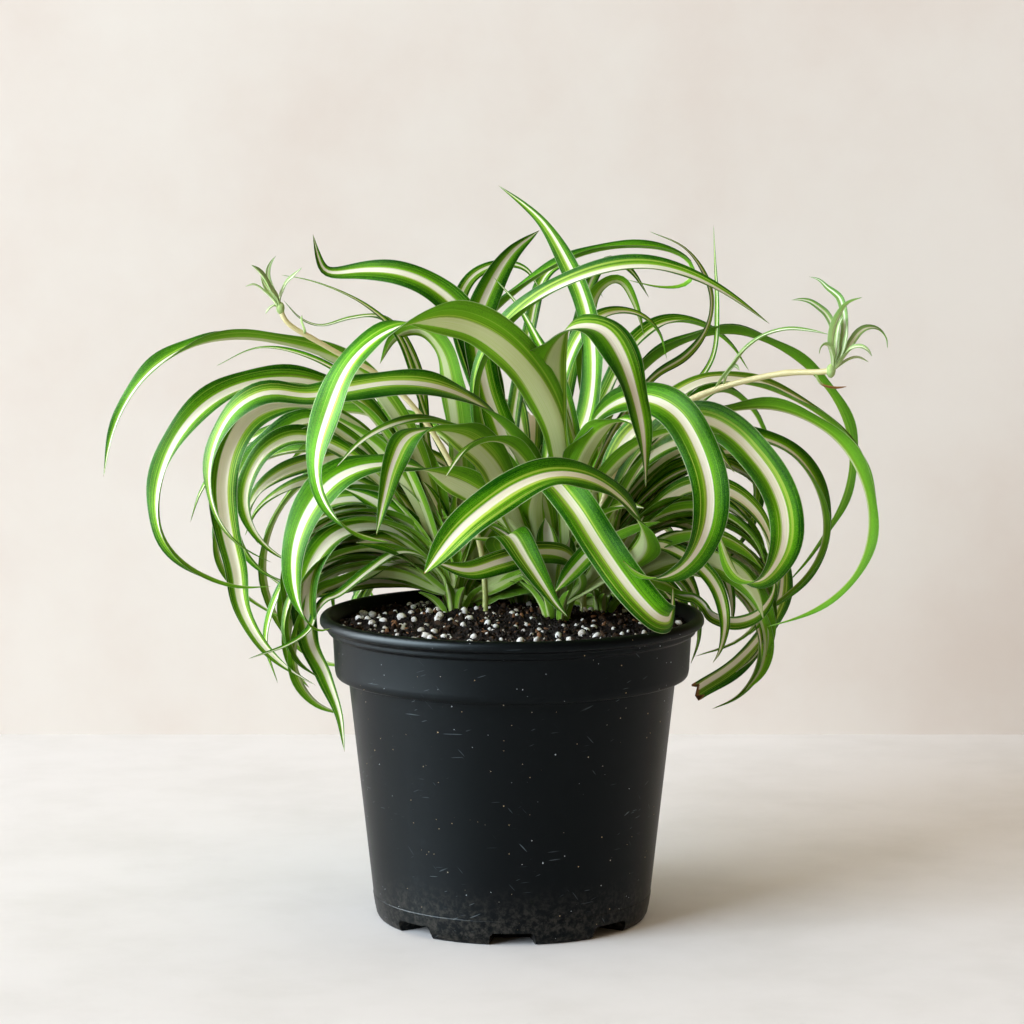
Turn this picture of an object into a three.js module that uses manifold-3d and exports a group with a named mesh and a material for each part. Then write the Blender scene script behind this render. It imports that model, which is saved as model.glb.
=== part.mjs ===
// A potted spider plant: four crowns of arching, striped leaves and two runners with young plants
// at their tips, rooted in potting mix in a black moulded nursery pot.
// Millimetres, +Z up, the front toward -Y, the origin in the middle of the pot's underside.
import * as THREE from 'three';
import { mergeVertices } from 'three/addons/utils/BufferGeometryUtils.js';
import Module from 'manifold-3d';

const wasm = await Module();
wasm.setup();
const { Manifold } = wasm;

// Driving dimensions of the pot
const potHeight = 136;
const rimRadius = 85;
const wall = 1.5;
const bodyTopRadius = 72.6;
const bodyBottomRadius = 61;
const collarBottom = 108;
const footRadius = 59.4;
const rimDepth = 9;
const sides = 32;

// The raised floor, with eight feet between eight notches that let water out
const discRadius = 45;
const floorThickness = 1.8;
const ringHeight = 9;
const notchCount = 8;
const notchHalfAngle = THREE.MathUtils.degToRad(9);
const notchHeight = 5.6;
const drainRadius = 3;
const drainCircle = 52;

// Potting mix
const soilAtWall = 130;
const moundHeight = 3.2;
const moundRadius = 38;
const fit = 0.3;

// Crowns: where each one stands, and the stub of its leaf bases
const stubRadius = 9;
const stubBelow = 22;
const stubAbove = 22;
const crownRootHeight = 134;
const bladeThickness = 1.4;
const usualTip = 2.4;

// The eye that the leaf paths are read from
const eyeDistance = 1450;
const eyeHeight = 354;

const lineSteps = 96;
const degrees = THREE.MathUtils.degToRad;
const { clamp, smoothstep, lerp } = THREE.MathUtils;

// A three.js geometry as a closed solid
function solidFrom(geometry) {
  geometry.deleteAttribute('normal');
  geometry.deleteAttribute('uv');
  const merged = mergeVertices(geometry, 1e-4);
  const corners = merged.index.array;
  const kept = [];
  for (let i = 0; i < corners.length; i += 3) {
    const [a, b, c] = corners.slice(i, i + 3);
    if (a !== b && b !== c && c !== a) kept.push(a, b, c);
  }
  const vertProperties = Float32Array.from(merged.attributes.position.array);
  return new Manifold(new wasm.Mesh({ numProp: 3, vertProperties, triVerts: Uint32Array.from(kept) }));
}

// Pieces joined as one solid, with any space that the joint seals off filled
function joined(solids) {
  const bodies = Manifold.union(solids).decompose();
  return bodies.reduce((largest, body) => (body.volume() > largest.volume() ? body : largest));
}

function meshFrom(name, solid, material) {
  const { vertProperties, triVerts } = solid.getMesh();
  const geometry = new THREE.BufferGeometry();
  geometry.setAttribute('position', new THREE.BufferAttribute(Float32Array.from(vertProperties), 3));
  geometry.setIndex(new THREE.BufferAttribute(Uint32Array.from(triVerts), 1));
  geometry.computeVertexNormals();
  const mesh = new THREE.Mesh(geometry, material);
  mesh.name = name;
  return mesh;
}

// A profile of [radius, height] points turned round the upright axis
function turned(profile) {
  const points = profile.map(([radius, height]) => new THREE.Vector2(radius, height));
  return new THREE.LatheGeometry(points, sides).rotateX(Math.PI / 2);
}

function cylinder(radius, low, high, x, y, around = 16, topRadius = radius) {
  const shape = new THREE.CylinderGeometry(topRadius, radius, high - low, around);
  return solidFrom(shape.rotateX(Math.PI / 2).translate(x, y, (low + high) / 2));
}

// The pot: a tapered shell with a stepped collar, a bead and a rolled rim
function bodyRadius(height) {
  return lerp(bodyBottomRadius, bodyTopRadius, (height - 3) / (collarBottom - 3));
}

function potSolid() {
  const outside = [
    [0, 0], [footRadius, 0], [bodyRadius(3), 3], [bodyTopRadius, collarBottom],
    [77.2, collarBottom + 0.3], [78.4, collarBottom + 2.6], [79.3, 127.4], [81.5, 128.2], [81.5, 130.4],
    [84.4, 130.9], [rimRadius, 133.4], [83, potHeight],
  ];
  const inside = [
    [80.2, 134.8], [77.9, 131], [76.8, collarBottom + 3.2], [75.2, collarBottom + 1.6],
    [bodyTopRadius - wall, collarBottom + 1.2], [bodyRadius(ringHeight) - wall, ringHeight],
    [discRadius - wall, ringHeight], [discRadius - wall, floorThickness], [0, floorThickness],
  ];
  const cuts = [];
  for (let i = 0; i < notchCount; i += 1) {
    const angle = -Math.PI / 2 + (i * 2 * Math.PI) / notchCount;
    const notch = new THREE.Shape();
    notch.absarc(0, 0, discRadius, angle - notchHalfAngle, angle + notchHalfAngle, false);
    notch.absarc(0, 0, rimRadius, angle + notchHalfAngle, angle - notchHalfAngle, true);
    const slot = new THREE.ExtrudeGeometry(notch, {
      depth: notchHeight + 1, bevelEnabled: false, curveSegments: 3,
    });
    cuts.push(solidFrom(slot.translate(0, 0, -1)));
    const x = drainCircle * Math.cos(angle);
    const y = drainCircle * Math.sin(angle);
    cuts.push(cylinder(drainRadius, notchHeight - 1, ringHeight + 1, x, y, 12));
  }
  return solidFrom(turned([...outside, ...inside])).subtract(Manifold.union(cuts));
}

// The mix: fills the pot to just under the rim, with an uneven, slightly mounded top
function soilTop(x, y) {
  const mound = moundHeight * Math.exp(-(x * x + (y - 25) ** 2) / (2 * moundRadius ** 2));
  const lumps = 0.6 * Math.sin(x / 6.1 + y / 9.3) + 0.5 * Math.cos(y / 5.2 - x / 11);
  return soilAtWall + mound + lumps;
}

const fraction = (index, step) => (index * step) % 1;

function soilSolid(holes) {
  const bodyAt = (height) => bodyRadius(height) - wall - fit;
  const profile = [
    [0, floorThickness + fit], [discRadius - wall - fit, floorThickness + fit],
    [discRadius - wall - fit, ringHeight + fit], [bodyAt(ringHeight), ringHeight + fit],
    [bodyAt(collarBottom), collarBottom + 1.2 + fit], [75.2 - fit, collarBottom + 1.6 + 2 * fit],
    [76.5, collarBottom + 3.6],
  ];
  for (const radius of [77.4, 60, 44, 28, 13, 0]) profile.push([radius, soilAtWall]);
  const geometry = turned(profile);
  const position = geometry.attributes.position;
  for (let i = 0; i < position.count; i += 1) {
    if (position.getZ(i) > soilAtWall - 1) {
      position.setZ(i, soilTop(position.getX(i), position.getY(i)));
    }
  }
  const lumps = [];
  const lumpCount = 22;
  for (let i = 1; i <= lumpCount; i += 1) {
    const radius = 71 * Math.sqrt(fraction(i, 0.7549));
    const angle = 2 * Math.PI * fraction(i, 0.5698);
    const x = radius * Math.cos(angle);
    const y = radius * Math.sin(angle);
    const size = 1.7 + 1.2 * fraction(i, 0.3247);
    if (holes.some((hole) => Math.hypot(hole.x - x, hole.y - y) < hole.radius + 4)) continue;
    const lump = new THREE.IcosahedronGeometry(size, 0).rotateX(i).rotateZ(2 * i);
    lumps.push(solidFrom(lump.translate(x, y, soilTop(x, y) + 0.1 * size)));
  }
  const bores = holes.map(({ x, y, radius, low }) => cylinder(radius + fit, low - fit, 150, x, y));
  return joined([solidFrom(geometry), ...lumps]).subtract(Manifold.union(bores));
}

// Depth limits: the leaves of the four crowns hang in layers, one behind another, that widen outward,
// and the two runners hang between the front layer and the side layers
const layerSpread = (x) => 0.35 * Math.max(0, Math.abs(x) - 35);
const frontLayer = (x) => [-Infinity, 17 - layerSpread(x)];
const sideLayer = (x) => [25 - layerSpread(x), 43 + layerSpread(x)];
const backLayer = (x) => [45 + layerSpread(x), Infinity];
const runnerDepth = (x) => 21 - layerSpread(x);

// A value eased to stay below a limit
function easedBelow(value, limit, ease) {
  const start = limit - ease;
  return value > start ? limit - ease * Math.exp((start - value) / ease) : value;
}

function easedAbove(value, limit, ease) {
  return -easedBelow(-value, -limit, ease);
}

// From a place as the eye sees it on the middle plane, and its depth, to the real place, and back
function realPlace(seen) {
  const nearer = 1 + seen.y / eyeDistance;
  return new THREE.Vector3(seen.x * nearer, seen.y, eyeHeight + (seen.z - eyeHeight) * nearer);
}

function seenPlace(real) {
  const nearer = 1 + real.y / eyeDistance;
  return new THREE.Vector3(real.x / nearer, real.y, eyeHeight + (real.z - eyeHeight) / nearer);
}

// How wide a blade is along its length, as a part of its full width
function bladeProfile(s, tip) {
  const base = 0.42 + 0.58 * smoothstep(s, 0, 0.35);
  const taper = s > 0.5 ? 1 - ((s - 0.5) / 0.5) ** tip : 1;
  return base * taper;
}

// How far each half of a blade folds up from flat: most at the root, where it sheathes the next one
function foldAngle(s, fold) {
  return degrees(fold + (60 - fold) * (1 - smoothstep(s, 0, 0.4)) + 7 * smoothstep(s, 0.6, 1));
}

// How far out the pot reaches at a height, a little full under the rim and the collar
function potReach(height) {
  return lerp(bodyRadius(height), rimRadius, smoothstep(height, collarBottom - 12, collarBottom + 14));
}

// Keeps a blade off the pot: above the rim inside it, and clear of the wall outside it
function clearOfPot(point, half, crown) {
  const clearance = 1 + 0.7 * half;
  const radial = Math.hypot(point.x, point.y);
  const up = point.z - potHeight;
  if (up > -rimDepth && radial < rimRadius) {
    const away = smoothstep(Math.hypot(point.x - crown.root.x, point.y - crown.root.y), 6, 20);
    const lowest = lerp(crownRootHeight - 4, potHeight + clearance, away);
    point.z = easedAbove(point.z, lowest, 3 * away + 0.01);
    return;
  }
  const out = radial - potReach(point.z);
  const reach = up > 0 ? Math.hypot(out, up) : out;
  if (reach > clearance + 3) return;
  const gain = easedAbove(reach, clearance, 3) - reach;
  const upward = up > 0 ? up / reach : 0;
  const outward = Math.sqrt(1 - upward ** 2);
  point.x *= 1 + (gain * outward) / radial;
  point.y *= 1 + (gain * outward) / radial;
  point.z += gain * upward;
}

// The middle line of a leaf from its root in the crown, evenly spaced, at real size
function leafLine(leaf, crown) {
  const heading = realPlace(leaf.path[0]).sub(crown.root);
  const climb = Math.atan2(heading.z, Math.hypot(heading.x, heading.y));
  const root = crown.root.clone();
  root.x += clamp(heading.x, -crown.reach, crown.reach);
  root.y += clamp(heading.y, -crown.reach, crown.reach);
  root.z += crown.rise * climb;
  const curve = new THREE.CatmullRomCurve3([seenPlace(root), ...leaf.path], false, 'centripetal');
  return curve.getSpacedPoints(lineSteps).map((seen, i) => {
    const half = (leaf.width / 2) * bladeProfile((i / lineSteps) * leaf.whole, usualTip);
    const [near, far] = crown.layer(seen.x);
    const ease = Math.min(6, Math.max(1, (far - near) / 2 - half - 0.7));
    seen.y = easedBelow(seen.y, far - half - 0.7, ease);
    seen.y = easedAbove(seen.y, near + half + 0.7, ease);
    const point = realPlace(seen);
    if (crown.inPot) clearOfPot(point, half, crown);
    return point;
  });
}

// The way the upper side faces along the line, without twist. That is inward at the root, or, for a leaf
// that stays in the plane of view, away from the side that it bends to
function upperSides(line, crown, inView) {
  const tangents = line.map((point, i) => {
    const before = line[Math.max(i - 1, 0)];
    const after = line[Math.min(i + 1, lineSteps)];
    return after.clone().sub(before).normalize();
  });
  const ahead = line[Math.round(0.4 * lineSteps)];
  let upper = crown.root.clone().sub(ahead).setZ(0).normalize();
  if (inView) {
    const turning = tangents.slice(1).reduce((sum, t, i) => sum + tangents[i].clone().cross(t).y, 0);
    upper = tangents[0].clone().cross(new THREE.Vector3(0, Math.sign(turning), 0)).normalize();
  }
  const normals = tangents.map((tangent) => {
    upper = upper.clone().addScaledVector(tangent, -upper.dot(tangent)).normalize();
    return upper;
  });
  return { tangents, normals };
}

// A smooth value between evenly spaced stations
function between(stations, s) {
  const place = s * (stations.length - 1);
  const low = Math.min(Math.floor(place), Math.max(stations.length - 2, 0));
  const high = Math.min(low + 1, stations.length - 1);
  return lerp(stations[low], stations[high], smoothstep(place - low, 0, 1));
}

// A leaf blade: a folded channel with a thicker midrib, closed at the root and drawn out to a point
function bladeSolid(leaf, crown) {
  const line = leafLine(leaf, crown);
  const { tangents, normals } = upperSides(line, crown, leaf.inView);
  const toEye = new THREE.Vector3(0, -1, 0);
  const turn = tangents.reduce((sum, t, i) => sum + t.clone().cross(normals[i]).dot(toEye), 0) < 0 ? -1 : 1;
  const bend = tangents.reduce((sum, t, i) => sum + (i ? t.angleTo(tangents[i - 1]) : 0), 0);
  const fewer = leaf.width > 8 ? 0 : 2;
  const steps = leaf.steps ?? (bend < 2.2 ? 5 : bend < 4.4 ? 8 : 11) - fewer;
  const positions = [];
  for (let k = 0; k <= steps; k += 1) {
    const i = Math.round((k * lineSteps) / steps);
    const s = i / lineSteps;
    const roll = degrees(between(leaf.roll, s));
    const across = tangents[i].clone().cross(normals[i]);
    const up = normals[i].clone().multiplyScalar(Math.cos(roll));
    up.addScaledVector(across, turn * Math.sin(roll));
    const right = tangents[i].clone().cross(up);
    const share = bladeProfile(s * leaf.whole, leaf.tip);
    const half = (leaf.width / 2) * share;
    const thick = bladeThickness * leaf.thickness * (0.55 + 0.45 * share);
    const out = half * Math.cos(foldAngle(s, leaf.fold));
    const lift = half * Math.sin(foldAngle(s, leaf.fold));
    const corner = (sideways, above) => {
      const point = line[i].clone().addScaledVector(right, sideways).addScaledVector(up, above);
      positions.push(point.x, point.y, point.z);
    };
    if (k === steps && leaf.whole === 1) {
      corner(0, 0);
      break;
    }
    corner(out, lift);
    corner(0, thick / 2);
    corner(-out, lift);
    corner(0, -thick / 2);
    if (k === steps) {
      const end = line[i].clone().addScaledVector(tangents[i], 2);
      positions.push(end.x, end.y, end.z);
    }
  }
  const rings = (positions.length / 3 - 1) / 4;
  const tip = 4 * rings;
  const faces = [0, 1, 3, 1, 2, 3];
  for (let ring = 0; ring < rings; ring += 1) {
    for (let k = 0; k < 4; k += 1) {
      const a = 4 * ring + k;
      const b = 4 * ring + ((k + 1) % 4);
      if (ring === rings - 1) faces.push(a, tip, b);
      else if (k % 2 === 0) faces.push(a, a + 4, b, a + 4, b + 4, b);
      else faces.push(a, a + 4, b + 4, a, b + 4, b);
    }
  }
  const geometry = new THREE.BufferGeometry();
  geometry.setAttribute('position', new THREE.Float32BufferAttribute(positions, 3));
  geometry.setIndex(faces);
  const solid = solidFrom(geometry);
  if (solid.isEmpty()) throw new Error(`${leaf.name} isn't closed`);
  return solid;
}

// A leaf as listed: its path is [across, height, depth] as the eye sees it, its roll is in degrees at
// even stations from root to tip, where more turns the upper side to the eye
const usualRoll = [5, 25, 35, 30, 20];
const sideRoll = [0, 20, 38, 38, 25];

function leaf(name, width, path, roll = usualRoll, options = {}) {
  const places = path.map(([across, height, depth]) => new THREE.Vector3(across, depth, height));
  const usual = { whole: 1, thickness: 1, fold: 18, tip: usualTip, inView: false };
  return { name, width, path: places, roll, ...usual, ...options };
}

const frontLeaves = [
  leaf('long twist', 19, [
    [25, 190, -12], [21, 220, -26], [8, 244, -42], [-10, 260, -56], [-28, 266, -66], [-43, 264, -74],
    [-58, 258, -80], [-71, 246, -85], [-80, 226, -88], [-86, 204, -88], [-84, 188, -86],
    [-75, 175, -82], [-63, 169, -78], [-53, 167, -74],
  ], [-30, -50, -60, -55, -35, 40, 65, 50, -20]),
  leaf('short arch', 17, [
    [2, 182, -20], [-8, 204, -40], [-22, 215, -56], [-36, 216.5, -68], [-46, 213, -77],
    [-52, 202, -84], [-56, 187, -89], [-60, 170, -92],
  ], [-40, -65, -75, -65, 0, 60, 50]),
  leaf('middle arch', 16, [
    [12, 188, -12], [4, 208, -22], [-12, 226, -32], [-32, 235, -40], [-52, 237, -46], [-72, 234, -50],
    [-90, 231, -53], [-107, 233, -55], [-121, 226, -56], [-130, 211, -56], [-133, 193, -56],
    [-129, 177, -54], [-119, 165, -51], [-106, 158, -48],
  ], [-40, -60, 10, 50, 45, 50, 40, 30]),
  leaf('left fall', 18, [
    [5, 170, -14], [-18, 190, -28], [-42, 200, -38], [-62, 201, -44], [-78, 195, -48], [-90, 181, -50],
    [-96, 164, -50], [-96, 147, -48], [-92, 134, -45], [-86, 127.5, -42], [-79, 129, -40],
  ], [-30, -60, -50, 20, 60, 50, 0]),
  leaf('front sweep', 17, [
    [42, 150, -8], [58, 163, -24], [56, 176, -44], [46, 188, -62], [33, 195.5, -77], [18, 197, -89],
    [3, 192, -99], [-12, 182, -107], [-25, 170.5, -112], [-39, 153, -115],
  ], [0, 20, 50, 55, 45, 65, 75], { tip: 8 }),
  leaf('right fall', 17, [
    [13, 158, -4], [10, 183, -18], [17, 195, -36], [28, 184, -48], [39, 167, -54], [50, 151, -57],
    [58, 141, -58], [65, 134, -57], [68.5, 132.6, -52], [69.5, 134, -46], [70.5, 139, -42],
    [71, 147, -40],
  ], [0, 0, 40, 70, 70, 60, 20], { tip: 6 }),
  leaf('front drop', 16, [
    [10, 150, -12], [-4, 166, -30], [0, 170, -44], [7, 159, -52], [14, 148, -55], [20, 139, -56],
    [25, 133.5, -56],
  ], [0, 30, 70, 75], { tip: 1.8 }),
  leaf('level front', 11, [
    [30, 148, -6], [24, 160, -22], [10, 162, -38], [-5, 158, -52], [-20, 154, -62], [-34, 158, -68],
  ], [20, 60, 60, 60], { tip: 5 }),
  leaf('small under', 13, [
    [38, 152, -4], [44, 166, -14], [36, 163, -28], [28, 155, -36], [19, 145, -42],
  ], [0, 30, 60, 70], { tip: 4 }),
  leaf('double crest', 20, [
    [22, 190, -8], [15, 220, -20], [15, 246, -34], [22, 259, -46], [31, 262, -56], [40, 260, -64],
    [47, 250, -72], [53, 233, -79], [57, 215, -85], [59, 191, -90],
  ], [-50, -60, -50, 0, 60, 65, 50, 30], { tip: 3 }),
  leaf('big curl', 17, [
    [34, 182, -6], [30, 204, -18], [36, 220, -32], [48, 229.5, -44], [61, 230.5, -54], [73, 224, -63],
    [82, 209.5, -70], [87, 193, -74], [87, 177, -76], [82, 164, -76], [74, 155, -73], [64, 151, -69],
    [54, 154, -64], [49, 159, -60],
  ], [-50, -40, 0, 50, 65, 70, 60, 20, -30], { tip: 5 }),
  leaf('second curl', 16, [
    [40, 175, 0], [55, 203, -8], [70, 218.5, -20], [84, 222.5, -30], [97, 216.5, -38], [108, 205.5, -46],
    [116, 194, -52], [121, 180, -56], [121, 167, -57], [116, 156, -55], [109, 149.5, -51],
    [101, 151, -46], [95, 160, -40], [91, 172, -36],
  ], [0, 20, 50, 65, 65, 55, 10, -30], { tip: 5 }),
  leaf('outer loop', 15, [
    [45, 180, -4], [62, 208, -10], [80, 221, -16], [98, 225.5, -22], [115, 226, -28], [130, 221, -33],
    [143, 212, -37], [152, 199, -40], [157, 184, -41], [157, 168, -41], [152, 154, -40],
    [142, 143, -37], [128, 134.5, -34], [112, 129, -31],
  ], [0, 20, 10, -20, -30, -20, -10], { fold: 30 }),
  leaf('arch over the top', 15, [
    [2, 190, -6], [-12, 218, -12], [-14, 240, -18], [-4, 259, -24], [12, 274, -29], [30, 283, -33],
    [47, 287.5, -35], [62, 288, -36], [77, 284.5, -36], [90, 278.5, -35], [102, 271, -34],
    [113, 263.5, -32],
  ], [10, 5, 5, 12, 15], { fold: 36, inView: true }),
  leaf('small upright', 9, [[28, 175, 2], [30, 200, 4], [25, 220, 6], [19, 238, 6]], [-20]),
  leaf('thin pointed', 9, [
    [24, 180, 6], [28, 210, 8], [22, 238, 8], [13, 255, 6], [3, 272, 4], [-8, 284, 2],
  ]),
];

// A leaf of a side crown: it keeps its own lane in the layer, from 0 at the front to 1 at the back
function sideLeaf(name, width, lane, path, roll = sideRoll, options = {}) {
  const inLane = path.map(([across, height]) => {
    const [near, far] = sideLayer(across);
    return [across, height, lerp(near, far, lane)];
  });
  return leaf(name, width, inLane, roll, { fold: 36, inView: true, ...options });
}

const leftLeaves = [
  sideLeaf('far arch', 16, 0.12, [
    [-38, 190], [-52, 222], [-66, 240], [-82, 249], [-100, 254.5], [-120, 257],
    [-139, 254], [-156, 244.5], [-168, 231], [-176, 214], [-180, 196],
  ], [-50, -55, -45, -30, 0, 20]),
  sideLeaf('big loop', 16, 0.03, [
    [-40, 183], [-54, 211], [-68, 228], [-84, 236], [-101, 238.5], [-118, 236],
    [-133, 228.5], [-145, 216], [-152.5, 201], [-156, 185], [-154, 170],
    [-145, 158.5], [-133, 151.5], [-120, 147.5], [-106.5, 147.5],
  ], [-10, 0, 12, 20, 25, 0, -20, -20]),
  sideLeaf('long inner loop', 16, 0.2, [
    [-42, 180], [-60, 208], [-78, 222], [-97, 228], [-113, 224], [-123, 210],
    [-127, 192], [-125, 172], [-121, 155], [-119, 139], [-111, 123],
    [-99, 111], [-87, 103],
  ], [-40, -40, 0, 55, 60, 50, 20]),
  sideLeaf('thin tip', 10, 0.65, [
    [-46, 172], [-64, 200], [-80, 214], [-96, 218], [-112, 213], [-127, 203], [-137, 189],
    [-142, 176],
  ]),
  sideLeaf('twisted loop', 14, 0.4, [
    [-40, 165], [-56, 194], [-73, 213], [-89, 221], [-104, 213], [-116, 202],
    [-122, 188], [-121, 174], [-117, 163], [-108, 153], [-98, 149],
  ]),
  sideLeaf('inner curl', 14, 0.28, [
    [-40, 170], [-58, 192], [-78, 208], [-95, 213], [-108, 207], [-115, 196],
    [-117, 184], [-113, 172], [-105, 163], [-97, 158],
  ]),
  sideLeaf('dark curl', 14, 0.5, [
    [-36, 175], [-52, 195], [-70, 203], [-88, 201], [-102, 196], [-112, 188],
    [-116, 177], [-112, 166],
  ]),
  sideLeaf('under curl', 11, 0.6, [
    [-38, 168], [-54, 184], [-72, 193], [-90, 193], [-103, 188], [-112, 181],
    [-118, 170],
  ]),
  sideLeaf('first of the fan', 15, 0.85, [
    [-32, 170], [-37, 196], [-50, 215], [-66, 224], [-82, 223], [-94, 214],
  ], [-20, -45, -40, -20, 0]),
  sideLeaf('second of the fan', 16, 0.95, [
    [-33, 168], [-42, 190], [-56, 206], [-72, 213], [-87, 210], [-99, 202],
  ], [-20, -45, -40, -20, 0]),
  sideLeaf('third of the fan', 15, 0.75, [
    [-34, 162], [-46, 182], [-62, 194], [-80, 196], [-94, 189],
  ], [-20, -45, -40, -20, 0]),
  sideLeaf('fourth of the fan', 14, 0.45, [
    [-36, 158], [-50, 176], [-66, 185], [-82, 183], [-94, 174], [-100, 162],
  ]),
  sideLeaf('short level', 14, 0, [[-37, 150], [-47, 161], [-58, 167], [-69, 167]], [0, 60]),
  sideLeaf('thin over the rim', 6, 0.04, [
    [-30, 150], [-38, 159], [-50, 162], [-62, 155], [-72, 147], [-82, 138.5],
    [-90, 127], [-99, 121], [-117, 115],
  ], [0, 10, 14, 10, 5]),
  sideLeaf('low thin', 8, 0.3, [
    [-30, 148], [-40, 156], [-52, 157], [-64, 151.5], [-78, 147], [-92, 145],
    [-104, 147],
  ]),
  sideLeaf('low wide', 11, 0.7, [
    [-33, 146], [-48, 151], [-64, 150.5], [-80, 147], [-96, 147], [-108, 152],
  ]),
  sideLeaf('hanger by the pot', 15, 0.16, [
    [-40, 160], [-58, 172], [-76, 170], [-88, 157], [-91, 140], [-87, 122],
    [-81, 106], [-76, 90], [-74.5, 73],
  ]),
  sideLeaf('pale drop', 8, 0.55, [
    [-45, 165], [-68, 172], [-88, 163], [-100, 149], [-106, 136], [-108.5, 122],
    [-104, 104],
  ]),
  sideLeaf('lower loop', 12, 1, [
    [-45, 185], [-75, 205], [-105, 205], [-124, 190], [-130, 170], [-128, 157],
    [-120, 146], [-108, 137], [-95, 131],
  ]),
];

const rightLeaves = [
  sideLeaf('outer behind', 14, 0.9, [
    [48, 190], [64, 222], [84, 237], [104, 237], [122, 231], [137, 222],
    [149, 211], [157, 198], [161, 184],
  ]),
  sideLeaf('inner ring', 16, 0.75, [
    [50, 180], [70, 203], [92, 213], [110, 212], [123, 206], [132, 195],
    [137, 181], [137, 167], [131, 154], [121, 144], [110, 136], [100, 132],
  ]),
  sideLeaf('low level', 12, 0.2, [
    [54, 152], [66, 150], [78, 142], [88, 136], [99, 133], [109, 136.5],
    [115, 145], [116, 154],
  ]),
  sideLeaf('torn', 16, 1.0, [
    [52, 175], [75, 197], [98, 202], [113, 190], [119, 172], [119, 155],
    [118, 142], [110, 126], [98, 113], [82, 102],
  ], [0, 10, 40, 70, 80], { fold: 20, whole: 0.72 }),
  sideLeaf('droop over the rim', 9, 0, [
    [50, 158], [64, 165], [80, 158], [90, 147], [94, 132], [92, 119],
    [89, 113],
  ]),
  sideLeaf('dark droop', 9, 0.3, [
    [55, 158], [72, 168], [86, 163], [94, 151], [97, 138], [97, 128],
  ]),
  sideLeaf('first of the fan', 16, 0.5, [
    [44, 170], [44, 195], [52, 213], [66, 222], [80, 220], [92, 210],
  ]),
  sideLeaf('second of the fan', 15, 0.4, [
    [46, 165], [50, 188], [60, 204], [74, 211], [88, 208], [98, 198],
  ]),
  sideLeaf('third of the fan', 14, 0.6, [
    [48, 160], [58, 182], [70, 196], [86, 202], [102, 197], [113, 186],
    [119, 172],
  ]),
  sideLeaf('fourth of the fan', 14, 0.32, [
    [50, 158], [62, 178], [78, 190], [94, 189], [106, 181], [113, 170],
    [115, 158],
  ]),
  sideLeaf('fifth of the fan', 12, 0.5, [
    [48, 152], [58, 168], [68, 175], [80, 173], [90, 164], [94, 152],
  ]),
  sideLeaf('pale behind', 14, 0.62, [
    [52, 170], [75, 196], [96, 207], [106, 195], [105, 178], [99, 165],
    [92, 156],
  ]),
];

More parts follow.
